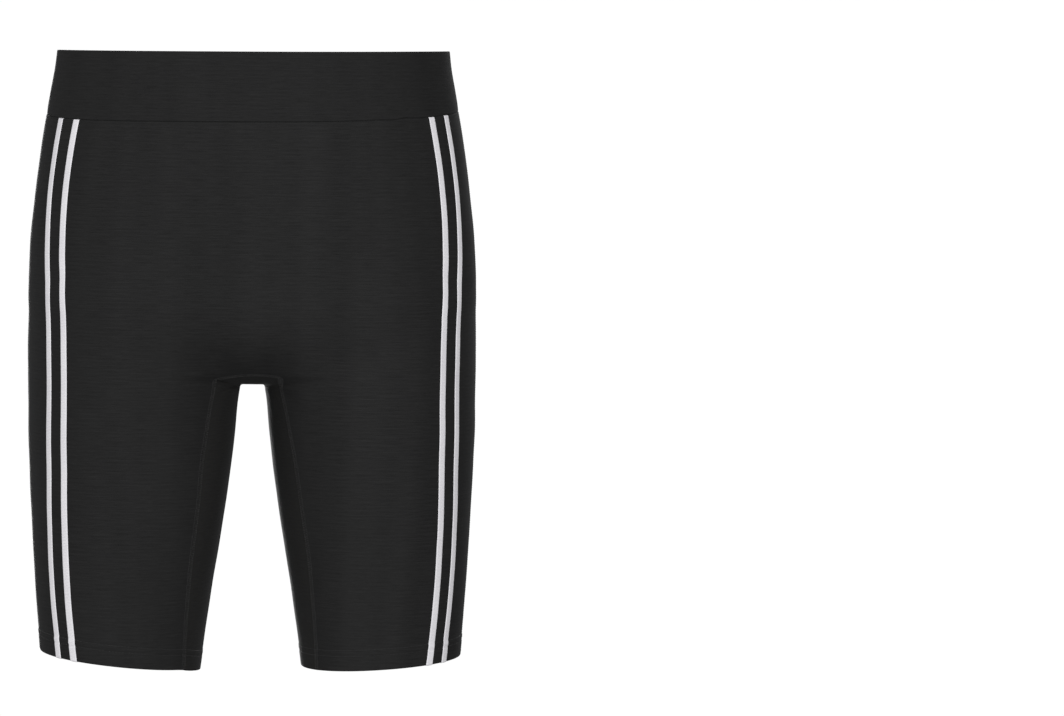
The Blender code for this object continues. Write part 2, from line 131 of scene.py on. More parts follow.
STRIPE_COLUMNS = ("z", "front", "front_pitch", "back", "back_pitch")
STRIPE = (
    (0.0, 43.7, 19.9, 43.7, 20.0),
    (-40.0, 44.0, 19.8, 44.6, 20.0),
    (-77.0, 45.1, 19.6, 46.9, 20.1),
    (-104.0, 46.0, 19.7, 49.4, 20.6),
    (-128.0, 48.6, 19.3, 53.9, 20.7),
    (-152.0, 52.7, 18.6, 60.1, 20.1),
    (-176.0, 56.1, 18.2, 64.9, 19.9),
    (-190.0, 58.3, 19.1, 68.3, 21.2),
    (-202.0, 60.9, 19.5, 71.6, 21.7),
    (-220.0, 62.6, 19.2, 73.3, 21.1),
    (-235.0, 63.5, 18.9, 72.9, 20.5),
    (-260.0, 63.7, 18.7, 70.3, 19.8),
    (-283.0, 62.8, 18.6, 66.9, 19.3),
    (-331.0, 59.1, 18.3, 59.4, 18.4),
    (-379.0, 55.3, 18.3, 53.0, 17.9),
    (-428.0, 52.4, 18.0, 49.8, 17.5),
    (-476.0, 52.3, 17.0, 49.4, 16.5),
    (-510.0, 52.7, 16.8, 49.8, 16.3),
)

# Soft troughs (depth above 0) and ridges (below 0) in the cloth, from one end to the
# other on the front or back, in x and z. Each fades towards both its ends.
FOLD_COLUMNS = ("where", "x0", "z0", "x1", "z1", "width", "depth")
FOLDS = (
    # The two short creases by the gusset's corner at the wearer's right leg, with the
    # cloth heaped up a little beside them.
    ("gusset", -31.0, -262.3, -17.5, -266.6, 0.5, 2.4),
    ("gusset", -28.5, -272.4, -11.0, -269.2, 0.95, 1.45),
    ("gusset", -30.5, -263.2, -16.5, -267.4, 0.8, -0.8),
    ("gusset", -26.0, -275.0, -12.0, -271.8, 1.8, -0.55),
    ("front", -40.0, -256.5, -28.0, -260.5, 2.6, 0.55),
    # Soft pull lines out of the crotch.
    ("front", 31.0, -204.0, 18.0, -262.0, 9.0, 0.75),
    ("front", -38.0, -232.0, -24.0, -262.0, 8.0, 0.60),
    ("front", 12.0, -240.0, 3.0, -259.0, 9.0, 0.45),
    ("front", 27.0, -268.0, 44.0, -300.0, 6.0, 0.45),
    ("front", -46.0, -256.0, -78.0, -243.0, 9.0, 0.40),
    ("front", 48.0, -254.0, 86.0, -236.0, 10.0, 0.35),
    # Where the band's seam is eased in by the wearer's left side.
    ("front", 108.0, -62.0, 128.0, -53.5, 3.4, 0.50),
    ("front", 96.0, -58.5, 119.0, -57.5, 2.2, -0.55),
    ("front", -118.0, -57.0, -84.0, -60.0, 3.0, 0.35),
    # Long, faint lines of tension on the thighs and over the hips.
    ("front", -120.0, -150.0, -60.0, -128.0, 14.0, 0.35),
    ("front", 64.0, -140.0, 128.0, -168.0, 15.0, 0.40),
    ("front", -70.0, -330.0, -128.0, -352.0, 12.0, 0.35),
    ("front", 60.0, -352.0, 122.0, -330.0, 12.0, 0.35),
    ("front", -128.0, -430.0, -72.0, -446.0, 10.0, 0.30),
    ("front", 78.0, -438.0, 134.0, -420.0, 10.0, 0.30),
    ("back", 29.0, -264.0, 18.0, -269.0, 1.6, 0.85),
    ("back", -28.0, -263.5, -19.0, -268.6, 1.7, 0.70),
    ("back", 0.0, -222.0, -2.0, -262.0, 10.0, 0.90),
    ("back", -34.0, -236.0, -22.0, -262.0, 8.0, 0.60),
    ("back", 40.0, -228.0, 24.0, -262.0, 9.0, 0.70),
    ("back", -118.0, -283.0, -44.0, -268.0, 8.5, 1.00),
    ("back", -128.0, -299.0, -62.0, -290.0, 8.0, 0.55),
    ("back", 46.0, -269.0, 122.0, -285.0, 8.5, 0.95),
    ("back", 70.0, -293.0, 124.0, -303.0, 7.5, 0.50),
    ("back", -96.0, -60.0, -60.0, -63.0, 3.0, 0.35),
    ("back", 78.0, -62.0, 112.0, -58.5, 3.2, 0.40),
    ("back", -132.0, -150.0, -78.0, -132.0, 14.0, 0.35),
    ("back", 66.0, -128.0, 130.0, -152.0, 14.0, 0.35),
    ("back", -120.0, -372.0, -66.0, -388.0, 12.0, 0.35),
    ("back", 70.0, -392.0, 124.0, -372.0, 12.0, 0.35),
)


# ---------------------------------------------------------------- tables
def smooth_table(rows, names, level_at=None):
    """A function of (column name, z) that reads a table along a smooth curve, which is
    level at the height level_at, where the tube goes on straight."""
    table = np.array(rows, float)
    table = table[np.argsort(table[:, 0])]
    z = table[:, 0]
    slopes = {}
    for k, name in enumerate(names):
        v = table[:, k]
        step = np.diff(v) / np.diff(z)
        m = np.empty_like(v)
        m[0], m[-1] = step[0], step[-1]
        h = np.diff(z)
        m[1:-1] = (step[:-1] * h[1:] + step[1:] * h[:-1]) / (h[1:] + h[:-1])
        if level_at is not None:
            m[z == level_at] = 0.0
        slopes[name] = (v, m)

    def read(name, at):
        v, m = slopes[name]
        at = np.clip(np.asarray(at, float), z[0], z[-1])
        i = np.clip(np.searchsorted(z, at) - 1, 0, len(z) - 2)
        h = z[i + 1] - z[i]
        t = (at - z[i]) / h
        return (
            v[i] * (1 + 2 * t) * (1 - t) ** 2
            + v[i + 1] * t**2 * (3 - 2 * t)
            + h * m[i] * t * (1 - t) ** 2
            - h * m[i + 1] * t**2 * (1 - t)
        )

    return read


torso = smooth_table(TORSO, TORSO_COLUMNS, level_at=DOME_TOP)
leg = smooth_table(LEG, LEG_COLUMNS, level_at=LEG_CAP_TOP)
inner_line = smooth_table(INNER, INNER_COLUMNS)
stripe_line = smooth_table(STRIPE, STRIPE_COLUMNS)


# ---------------------------------------------------------------- outer surface
def oval(x, y, half_width, front, back, power):
    """1 on the oval, less inside it and more outside."""
    depth = np.where(y < 0, front, back)
    inside = (np.abs(x) / half_width) ** power + (np.abs(y) / depth) ** power
    return np.maximum(inside, 1e-12) ** (1 / power)


def torso_value(p):
    z = np.maximum(p[:, 2], DOME_TOP)
    level = oval(p[:, 0], p[:, 1], *(torso(c, z) for c in TORSO_COLUMNS[1:]))
    below = np.maximum(DOME_TOP - p[:, 2], 0.0) / DOME_HEIGHT
    return (level**DOME_POWER + below**DOME_POWER) ** (1 / DOME_POWER) - 1


def leg_value(p, side):
    z = np.minimum(p[:, 2], LEG_CAP_TOP)
    x = side * p[:, 0] - leg("middle", z)
    level = oval(x, p[:, 1], *(leg(c, z) for c in LEG_COLUMNS[2:]))
    above = np.maximum(p[:, 2] - LEG_CAP_TOP, 0.0) / LEG_CAP_HEIGHT
    return np.sqrt(level**2 + above**2) - 1


def gradient(f, p, h):
    """Central differences, in one call for all six neighbours."""
    n = len(p)
    around = np.concatenate([p + s * h * np.eye(3)[k] for k in range(3) for s in (1, -1)])
    v = f(around).reshape(3, 2, n)
    return ((v[:, 0] - v[:, 1]) / (2 * h)).T


def distance(f, p):
    """Nearly the distance to where f is 0."""
    return f(p) / np.maximum(np.linalg.norm(gradient(f, p, 0.2), axis=1), 1e-6)


def soft_min(a, b, reach):
    h = np.clip(0.5 + 0.5 * (b - a) / reach, 0, 1)
    return b * (1 - h) + a * h - reach * h * (1 - h)


def ease(t):
    t = np.clip(t, 0, 1)
    return t * t * (3 - 2 * t)


def surface(p):
    """Nearly the distance from the outer face of the cloth, less than 0 inside.

    Far above the legs only the torso counts, and far below the crotch only the nearer
    leg, so the rest isn't worked out there."""
    out = np.empty(len(p))
    z = p[:, 2]
    high = z > -118.0
    low = z < -330.0
    mid = ~high & ~low
    if high.any():
        out[high] = distance(torso_value, p[high])
    if low.any():
        q = p[low] * (1, 1, 1)
        q[:, 0] = np.abs(q[:, 0])
        out[low] = distance(lambda a: leg_value(a, 1), q)
    if mid.any():
        q = p[mid]
        legs = soft_min(
            distance(lambda a: leg_value(a, 1), q),
            distance(lambda a: leg_value(a, -1), q),
            TIGHT_JOIN,
        )
        soft = ease((q[:, 2] + 271.0) / 13.0) * (1 - ease((np.abs(q[:, 0]) - 95.0) / 70.0))
        reach = TIGHT_JOIN + (SOFT_JOIN - TIGHT_JOIN) * soft
        out[mid] = soft_min(distance(torso_value, q), legs, reach)
    return out


def onto_surface(p, free=(1.0, 1.0, 1.0), steps=3):
    """Moves points onto the outer face, along the directions that free leaves open."""
    p = np.array(p, float)
    shape = p.shape
    p = p.reshape(-1, 3)
    for _ in range(steps):
        g = gradient(surface, p, 0.5) * np.array(free)
        size = np.maximum((g**2).sum(axis=1), 0.05)
        p = p - (surface(p) / size)[:, None] * g
    return p.reshape(shape)


def outward(p):
    shape = p.shape
    g = gradient(surface, p.reshape(-1, 3), 1.0)
    g /= np.linalg.norm(g, axis=1)[:, None]
    return g.reshape(shape)


def level_curves(levels, back, count=241):
    """Half of the section at each height, from the middle or the inner leg to the side."""
    on_leg = levels < LEG_LEVEL
    middle = np.where(on_leg, leg("middle", levels), 0.0)
    start = np.where(on_leg, math.pi, math.pi / 2)
    turn = start[:, None] * np.linspace(1.0, 0.0, count) * (1 if back else -1)
    ray = np.stack([np.cos(turn), np.sin(turn), np.zeros_like(turn)], axis=2)
    origin = np.stack([middle, 0 * middle, levels], axis=1)[:, None, :]
    # A ray round a leg stops at the middle of the shorts, short of the other leg.
    to_middle = middle[:, None] / np.maximum(-ray[..., 0], 1e-3)
    near = np.full(turn.shape, 2.0)
    far = np.where(on_leg[:, None], np.minimum(to_middle, 230.0), 230.0)

    def value(reach):
        points = origin + ray * reach[..., None]
        return surface(points.reshape(-1, 3)).reshape(turn.shape)

    for _ in range(7):
        reach = (near + far) / 2
        inside = value(reach) < 0
        near, far = np.where(inside, reach, near), np.where(inside, far, reach)
    at_near, at_far = value(near), value(far)
    for _ in range(4):
        reach = near - at_near * (far - near) / np.where(
            np.abs(at_far - at_near) < 1e-9, 1e-9, at_far - at_near
        )
        reach = np.clip(reach, near, far)
        v = value(reach)
        inside = v < 0
        # The end that stays has its value halved, which keeps both ends moving.
        at_far = np.where(inside, at_far * 0.5, v)
        at_near = np.where(inside, v, at_near * 0.5)
        near, far = np.where(inside, reach, near), np.where(inside, far, reach)
    reach = np.where(np.abs(at_near) < np.abs(at_far), near, far)
    return origin + ray * reach[..., None]


# ---------------------------------------------------------------- lines on the surface
def tilt(x):
    """The waistband sits a little lower towards the wearer's right."""
    return -TILT * (1 - x / 160.0)


def waist_seam(share, x):
    """Height of the waist seam. share is 1 at the middle and 0 at the sides. It drops
    soon at the wearer's right side, and evenly at the left."""
    right = RIGHT_SEAM[0] - RIGHT_SEAM[1] * (1 - (1 - share) ** 1.9)
    left = LEFT_SEAM[0] - LEFT_SEAM[1] * share**1.05
    # A short ripple where the seam is drawn in beside the left stripes.
    ripple = 0.75 * np.exp(-(((x - 118.5) / 5.0) ** 2)) - 0.35 * np.exp(-(((x - 108.0) / 5.0) ** 2))
    return np.where(x < 0, right, left + ripple) + tilt(x)


def top_edge(share, x):
    return -TOP_DIP * share**1.5 + tilt(x)


def hem_height(x, side=None):
    """Height of the leg end. Without a side, x is less than 0 on the right leg."""
    right = x < 0 if side is None else side < 0
    x = np.abs(x)
    z, rise, droop = (np.where(right, a, b) for a, b in zip(RIGHT_HEM, LEFT_HEM))
    return z + rise * (x - 104.5) - droop * (np.maximum(60.0 - x, 0.0) / 18.0) ** 2


def crotch_line(x):
    """Height of the row that passes through the seam across the crotch."""
    x = np.minimum(np.abs(x), 60.0)
    to_corner = np.clip(x / 30.0, 0, 1)
    past = np.clip((x - 30.0) / 30.0, 0, 1)
    return CROTCH_SEAM_Z + (CROTCH_CORNER_Z - CROTCH_SEAM_Z) * to_corner**2 + 1.5 * past


def graded(*stops):
    """Shares from 0 to 1, spaced as the (position, spacing) stops say."""
    at, gap = np.array(stops, float).T
    fine = np.linspace(0.0, at[-1], 4001)
    rate = 1 / np.interp(fine, at, gap)
    count = np.concatenate([[0], np.cumsum((rate[1:] + rate[:-1]) / 2 * np.diff(fine))])
    n = max(1, round(count[-1]))
    return np.interp(np.linspace(0, count[-1], n + 1), count, fine) / at[-1]


# ---------------------------------------------------------------- panel grids
MIDDLE = graded((0, 1.7), (20, 1.4), (27, 0.7), (30, 0.4))
PANEL = graded((0, 0.35), (1.2, 0.5), (4, 1.2), (9, 2.3), (90, 2.5))
ACROSS_TAPE = np.array([0.0, 0.35, 1.1, 3.2, 5.3, 6.05, 6.4]) / 6.4
BETWEEN = np.linspace(0.0, 1.0, 6)
SIDE = graded((0, 2.4), (36, 2.3), (42, 1.2), (44.8, 0.5), (46, 0.35))
SEGMENTS = (MIDDLE, PANEL, ACROSS_TAPE, BETWEEN, ACROSS_TAPE, SIDE)
COLS = sum(len(s) - 1 for s in SEGMENTS)
LEG_START = len(MIDDLE) - 1
FIRST_STRIPE = LEG_START + len(PANEL) - 1
TAPE_COLS = len(ACROSS_TAPE) - 1
SECOND_STRIPE = FIRST_STRIPE + TAPE_COLS + len(BETWEEN) - 1

TORSO_SHARES = graded(
    (0, 0.25), (1.2, 0.35), (4, 1.1), (9, 2.5), (150, 2.8), (185, 1.7), (202, 1.0), (210, 0.5)
)
LEG_SHARES = graded(
    (0, 0.5), (4, 0.8), (14, 1.5), (34, 2.6), (198, 2.8), (204, 0.9), (214, 0.9),
    (218, 1.2), (222, 0.5), (224, 0.25),
)
TORSO_ROWS = len(TORSO_SHARES) - 1
LEG_ROWS = len(LEG_SHARES) - 1
ROWS = TORSO_ROWS + LEG_ROWS
BAND_SHARES = graded((0, 0.2), (1.0, 0.3), (3, 1.0), (8, 2.4), (44, 2.6), (49, 1.0), (52, 0.35), (53, 0.25))
BAND_ROWS = len(BAND_SHARES) - 1

TORSO_LEVELS = np.concatenate(
    [
        np.linspace(12.0, -228.0, 41),
        np.linspace(-232.0, -252.0, 8),
        np.linspace(-253.5, -268.0, 16),
    ]
)
LEG_LEVELS = np.concatenate(
    [
        np.linspace(-268.4, -276.0, 8),
        np.linspace(-278.0, -300.0, 9),
        np.linspace(-307.0, -508.0, 30),
    ]
)


def stations(curve, side, back):
    """Points of every column at one height, and how far each is from the side seam."""
    z = curve[0, 2]
    run = np.concatenate([[0], np.cumsum(np.linalg.norm(np.diff(curve, axis=0), axis=1))])
    shift = 0.0 if back else -side * float(inner_line("shift", z))
    inner = float(np.interp(float(inner_line("distance", z)) + shift, curve[:, 0], run))
    where = "back" if back else "front"
    outer_stripe = run[-1] - float(stripe_line(where, z))
    inner_stripe = outer_stripe - float(stripe_line(where + "_pitch", z))
    half = TAPE_WIDTH / 2
    marks = (
        0.0,
        inner,
        inner_stripe - half,
        inner_stripe + half,
        outer_stripe - half,
        outer_stripe + half,
        run[-1],
    )
    stops = [0.0]
    for a, b, shares in zip(marks[:-1], marks[1:], SEGMENTS):
        stops += list(a + (b - a) * shares[1:])
    points = np.stack([np.interp(stops, run, curve[:, k]) for k in range(2)], axis=1)
    return points, run[-1] - np.array(stops)


def reader(levels, table):
    """Reads a table of every column's points by height, along smooth curves."""
    order = np.argsort(levels)
    z, v = levels[order], table[order]
    h = np.diff(z)[:, None, None]
    step = np.diff(v, axis=0) / h
    m = np.empty_like(v)
    m[0], m[-1] = step[0], step[-1]
    m[1:-1] = (step[:-1] * h[1:] + step[1:] * h[:-1]) / (h[1:] + h[:-1])

    def read(columns, at):
        i = np.clip(np.searchsorted(z, at) - 1, 0, len(z) - 2)
        gap = (z[i + 1] - z[i])[..., None]
        t = ((at - z[i])[..., None] / gap).clip(-0.5, 1.5)
        return (
            v[i, columns] * (1 + 2 * t) * (1 - t) ** 2
            + v[i + 1, columns] * t**2 * (3 - 2 * t)
            + gap * m[i, columns] * t * (1 - t) ** 2
            - gap * m[i + 1, columns] * t**2 * (1 - t)
        )

    return read


def half_grid(curves, side, back):
    """Rows by columns of (x, y, z, distance from the side seam): panel, then waistband."""
    read = []
    for levels, sections in zip((TORSO_LEVELS, LEG_LEVELS), curves):
        rows = []
        for section in sections:
            points, from_side = stations(section, side, back)
            rows.append(np.column_stack([points, from_side]))
        read.append(reader(levels, np.array(rows)))
    columns = np.arange(COLS + 1)

    def at(z):
        z = np.asarray(z, float)
        cols = np.broadcast_to(columns, z.shape)
        found = np.where((z > LEG_LEVEL)[..., None], read[0](cols, z), read[1](cols, z))
        return np.concatenate([found[..., :2], z[..., None], found[..., 2:]], axis=-1)

    at_seam = at(np.full(COLS + 1, -50.0))
    share = np.minimum(np.abs(at_seam[:, 1]) / np.abs(at_seam[0, 1]), 1.0)
    top = waist_seam(share, side * at_seam[:, 0])
    low = crotch_line(at(np.full(COLS + 1, CROTCH_CORNER_Z))[:, 0])
    hem = hem_height(at(np.full(COLS + 1, HEM_Z))[:, 0], side)
    z = np.concatenate(
        [
            top + (low - top) * TORSO_SHARES[:, None],
            low + (hem - low) * LEG_SHARES[1:, None],
        ]
    )
    edge = top_edge(share, side * at_seam[:, 0])
    band_z = edge + (top - edge) * BAND_SHARES[:, None]
    out = []
    for grid in (at(z), at(band_z)):
        grid[:, :, 0] *= side
        grid[..., :3] = onto_surface(grid[..., :3], (1, 1, 0), steps=2)
        upper = slice(None) if len(grid) == BAND_ROWS + 1 else slice(0, TORSO_ROWS + 1)
        grid[upper, 0, 0] = 0.0
        out.append(grid)
    return out


def both_halves(back):
    curves = [level_curves(levels, back) for levels in (TORSO_LEVELS, LEG_LEVELS)]
    left, left_band = half_grid(curves, 1, back)
    right, right_band = half_grid(curves, -1, back)
    grid = np.concatenate([right[:, :0:-1], left], axis=1)
    band = np.concatenate([right_band[:, :0:-1], left_band], axis=1)
    return grid, band


# ---------------------------------------------------------------- relief
def to_line(points, line, reach=12.0):
    """Distance from each point to a dense line of points, where it is under reach."""
    flat = points.reshape(-1, 3)
    out = np.full(len(flat), reach)
    low, high = line.min(axis=0) - reach, line.max(axis=0) + reach
    near = np.nonzero(((flat > low) & (flat < high)).all(axis=1))[0]
    a, b = line[:-1], line[1:]
    along = b - a
    size = np.maximum((along**2).sum(axis=1), 1e-9)
    for start in range(0, len(near), 2000):
        ids = near[start : start + 2000]
        p = flat[ids][:, None, :]
        t = np.clip(((p - a) * along).sum(axis=2) / size, 0, 1)
        gap = np.linalg.norm(p - (a + along * t[..., None]), axis=2).min(axis=1)
        out[ids] = np.minimum(gap, reach)
    return out.reshape(points.shape[:-1])


def rolled(gap, radius):
    """How far an edge has rolled in, at this distance from it."""
    t = np.clip(1 - gap / radius, 0, 1)
    return radius * (1 - np.sqrt(1 - 0.999 * t**2))


def folds(p, where):
    """Depth of the soft folds at each point."""
    out = np.zeros(p.shape[:-1])
    x, z = p[..., 0], p[..., 2]
    for name, x0, z0, x1, z1, width, depth in FOLDS:
        if name != where:
            continue
        dx, dz = x1 - x0, z1 - z0
        size = math.hypot(dx, dz)
        t = ((x - x0) * dx + (z - z0) * dz) / size**2
        # A slight bow, so that no fold is a straight line.
        off = ((x - x0) * dz - (z - z0) * dx) / size - 0.06 * size * 4 * t * (1 - t)
        fade = ease(np.clip(t, 0, 1) * 3.2) * ease((1 - np.clip(t, 0, 1)) * 2.4)
        out += depth * np.exp(-((off / width) ** 2)) * fade
    if where == "gusset":
        out *= ease((-p[..., 1] - 12.0) / 20.0)
    return out


def waves(p):
    """The small unevenness of stretched cloth."""
    x, y, z = p[..., 0], p[..., 1], p[..., 2]
    return (
        0.10 * np.sin(x / 23.0 + z / 61.0 + 0.7)
        + 0.08 * np.sin(z / 17.0 - x / 47.0 + y / 33.0 + 2.1)
        + 0.07 * np.sin((x + z) / 31.0 - y / 29.0 + 4.0)
        + 0.05 * np.sin((x - 2 * z) / 13.0 + y / 19.0 + 1.3)
    )


# ---------------------------------------------------------------- meshes
def mesh_object(name, points, faces, cloth=None, finish=None):
    """points in mm; cloth holds each corner's place on the flat cloth, in cm."""
    mesh = bpy.data.meshes.new(name)
    points = np.asarray(points, float) * MM
    faces = np.asarray(faces, np.int32)
    per = faces.shape[1]
    mesh.vertices.add(len(points))
    mesh.vertices.foreach_set("co", points.ravel())
    mesh.loops.add(faces.size)
    mesh.loops.foreach_set("vertex_index", faces.ravel())
    mesh.polygons.add(len(faces))
    mesh.polygons.foreach_set("loop_start", np.arange(0, faces.size, per, dtype=np.int32))
    mesh.update(calc_edges=True)
    if cloth is not None:
        layer = mesh.uv_layers.new(name="Cloth")
        layer.uv.foreach_set("vector", np.asarray(cloth, np.float32)[faces.ravel()].ravel())
    mesh.validate()
    mesh.shade_smooth()
    obj = bpy.data.objects.new(name, mesh)
    bpy.context.scene.collection.objects.link(obj)
    if finish is not None:
        mesh.materials.append(finish)
    return obj


def shell(name, outer, inner, quads, cloth, finish, wrap=False):
    """A closed thin shell from two grids of points, for the quads that exist."""
    rows, cols = outer.shape[:2]
    r, c = quads[:, 0], quads[:, 1]
    right = (c + 1) % cols if wrap else c + 1
    ring = np.stack([r * cols + c, (r + 1) * cols + c, (r + 1) * cols + right, r * cols + right], 1)
    count = rows * cols
    edges = np.concatenate([ring[:, [k, (k + 1) % 4]] for k in range(4)])
    key = edges[:, 0].astype(np.int64) * count + edges[:, 1]
    back_key = edges[:, 1].astype(np.int64) * count + edges[:, 0]
    border = edges[~np.isin(key, back_key)]
    strips = np.stack([border[:, 1], border[:, 0], border[:, 0] + count, border[:, 1] + count], 1)
    faces = np.concatenate([ring, ring[:, ::-1] + count, strips])
    points = np.concatenate([outer.reshape(-1, 3), inner.reshape(-1, 3)])
    places = np.concatenate([cloth.reshape(-1, 2), cloth.reshape(-1, 2)])
    used, faces = np.unique(faces, return_inverse=True)
    faces = faces.reshape(-1, 4)
    points, places = points[used], places[used]
    # Faces outward: the first quad's normal has to agree with the way out of the cloth.
    a, b, d = (points[faces[0, k]] for k in (0, 1, 3))
    out_way = outer[r[0], c[0]] - inner[r[0], c[0]]
    if np.dot(np.cross(b - a, d - a), out_way) < 0:
        faces = faces[:, ::-1]
    return mesh_object(name, points, faces, places, finish)


def tube(path, radius, sides=6, up=None):
    """Points and quads of a round thread along a path, with closed ends."""
    path = np.asarray(path, float)
    along = np.gradient(path, axis=0)
    along /= np.maximum(np.linalg.norm(along, axis=1), 1e-9)[:, None]
    if up is None:
        up = np.tile((0.3, 0.5, 0.8), (len(path), 1))
    x = np.cross(along, up)
    x /= np.maximum(np.linalg.norm(x, axis=1), 1e-9)[:, None]
    y = np.cross(x, along)
    turn = np.arange(sides) * 2 * math.pi / sides
    ring = np.cos(turn)[None, :, None] * x[:, None] + np.sin(turn)[None, :, None] * y[:, None]
    radius = np.broadcast_to(radius, len(path))[:, None, None]
    points = (path[:, None] + ring * radius).reshape(-1, 3)
    n = len(path)
    i = np.arange(n - 1)[:, None] * sides
    k = np.arange(sides)[None, :]
    nxt = (k + 1) % sides
    quads = np.stack([i + k, i + nxt, i + sides + nxt, i + sides + k], axis=2).reshape(-1, 4)
    caps = []
    for base, flip in ((0, True), ((n - 1) * sides, False)):
        ids = [base + j for j in range(sides)]
        fan = [[ids[0], ids[j], ids[j + 1], ids[j + 2]] for j in range(1, sides - 2, 2)]
        caps += [f[::-1] if flip else f for f in fan]
    return points, np.concatenate([quads, np.array(caps, int)])


class Threads:
    """Gathers threads of one kind into one mesh."""

    def __init__(self):
        self.points, self.faces, self.count = [], [], 0

    def add(self, path, radius, up=None, sides=6):
        points, faces = tube(path, radius, sides, up)
        self.points.append(points)
        self.faces.append(faces + self.count)
        self.count += len(points)

    def make(self, name, finish):
        return mesh_object(
            name, np.concatenate(self.points), np.concatenate(self.faces), None, finish
        )


def evenly(line, step):
    """A line's points again, evenly spaced by about step, and their count of steps."""
    run = np.concatenate([[0], np.cumsum(np.linalg.norm(np.diff(line, axis=0), axis=1))])
    n = max(2, round(run[-1] / step))
    at = np.linspace(0, run[-1], n + 1)
    return np.stack([np.interp(at, run, line[:, k]) for k in range(line.shape[1])], axis=1)


# ---------------------------------------------------------------- materials
def nodes_of(name):
    made = bpy.data.materials.new(name)
    made.use_nodes = True
    tree = made.node_tree
    return made, tree, tree.nodes["Principled BSDF"]


def add(tree, kind, links=(), **values):
    """A node with its settings and inputs: {socket: value} or {socket: other socket}."""
    node = tree.nodes.new(kind)
    for key, value in values.items():
        setattr(node, key, value)
    for key, value in dict(links).items():
        if isinstance(value, bpy.types.NodeSocket):
            tree.links.new(value, node.inputs[key])
        else:
            node.inputs[key].default_value = value
    return node


def noise(tree, vector, scale, detail=2.0, rough=0.55):
    placed = add(tree, "ShaderNodeMapping", {"Vector": vector, "Scale": scale})
    settings = {"Vector": placed.outputs["Vector"], "Scale": 1.0, "Detail": detail}
    settings["Roughness"] = rough
    return add(tree, "ShaderNodeTexNoise", settings).outputs["Fac"]


def math_node(tree, what, a, b=None, c=None):
    values = {0: a}
    if b is not None:
        values[1] = b
    if c is not None:
        values[2] = c
    return add(tree, "ShaderNodeMath", values, operation=what).outputs[0]


def weighted(tree, *terms):
    """Sum of weight x (noise - 0.5)."""
    total = None
    for value, weight in terms:
        part = math_node(tree, "MULTIPLY_ADD", value, weight, -0.5 * weight)
        total = part if total is None else math_node(tree, "ADD", total, part)
    return total


def shade(tree, amount, low, high):
    """Colour between low and high, for an amount from -0.5 to 0.5."""
    fac = math_node(tree, "ADD", amount, 0.5)
    mix = add(tree, "ShaderNodeMix", {"Factor": fac}, data_type="RGBA", clamp_factor=True)
    for socket in mix.inputs:
        if socket.type == "RGBA":
            socket.default_value = (*(low if socket.name == "A" else high), 1)
    return next(s for s in mix.outputs if s.type == "RGBA")


def knit(name, colour, spread, course, slub, rough, sheen, specular, bump):
    """Fine stretch knit: courses along the cloth, slubs in the yarn, a soft sheen."""
    made, tree, shader = nodes_of(name)
    cloth = add(tree, "ShaderNodeUVMap", uv_map="Cloth").outputs["UV"]
    # Yarn slubs: long across and very short up, then finer and shorter ones.
    long_slub = noise(tree, cloth, (slub * 0.45, 13.5, 1.0), 2.0, 0.55)
    short_slub = noise(tree, cloth, (slub * 1.7, 16.0, 1.0), 2.0, 0.6)
    grain = noise(tree, cloth, (14.0, 14.0, 1.0), 2.0, 0.7)
    # Every few courses the yarn is a little lighter.
    lines = add(
        tree,
        "ShaderNodeTexWave",
        {"Vector": cloth, "Scale": 0.95, "Distortion": 0.5, "Detail": 1.0, "Detail Scale": 0.6},
        wave_type="BANDS",
        bands_direction="Y",
        wave_profile="SIN",
    ).outputs["Fac"]
    # Faint upright bands and clouds, as dyed knit has.
    bands = noise(tree, cloth, (0.30, 0.012, 1.0), 1.0, 0.5)
    clouds = noise(tree, cloth, (0.12, 0.10, 1.0), 2.0, 0.5)
    amount = weighted(
        tree,
        (long_slub, 1.0),
        (short_slub, 0.6),
        (grain, 1.1),
        (lines, 0.09),
        (bands, 0.45),
        (clouds, 0.2),
    )
    low = tuple(c * (1 - spread) for c in colour)
    high = tuple(c * (1 + spread) for c in colour)
    tree.links.new(shade(tree, amount, low, high), shader.inputs["Base Color"])
    # Height: rows of stitches with their two legs, broken up by the slubs.
    wave = add(
        tree,
        "ShaderNodeTexWave",
        {
            "Vector": add(
                tree, "ShaderNodeMapping", {"Vector": cloth, "Scale": (1.0, 1.0, 1.0)}
            ).outputs["Vector"],
            "Scale": course,
            "Distortion": 0.6,
            "Detail": 1.0,
            "Detail Scale": 2.0,
        },
        wave_type="BANDS",
        bands_direction="Y",
        wave_profile="SIN",
    ).outputs["Fac"]
    wales = add(
        tree,
        "ShaderNodeTexWave",
        {"Vector": cloth, "Scale": course * 1.15, "Distortion": 0.4, "Detail": 1.0},
        wave_type="BANDS",
        bands_direction="X",
        wave_profile="SIN",
    ).outputs["Fac"]
    height = math_node(tree, "MULTIPLY_ADD", wave, 0.45, 0.0)
    height = math_node(tree, "MULTIPLY_ADD", wales, 0.25, height)
    height = math_node(tree, "MULTIPLY_ADD", long_slub, 0.4, height)
    height = math_node(tree, "MULTIPLY_ADD", grain, 0.5, height)
    made_bump = add(
        tree, "ShaderNodeBump", {"Height": height, "Strength": bump, "Distance": 0.00035}
    )
    tree.links.new(made_bump.outputs["Normal"], shader.inputs["Normal"])
    roughness = math_node(tree, "MULTIPLY_ADD", grain, 0.16, rough - 0.08)
    tree.links.new(roughness, shader.inputs["Roughness"])
    shader.inputs["Specular IOR Level"].default_value = specular
    shader.inputs["Sheen Weight"].default_value = sheen
    shader.inputs["Sheen Roughness"].default_value = 0.38
    shader.inputs["Sheen Tint"].default_value = (0.95, 0.96, 1.0, 1.0)
    return made


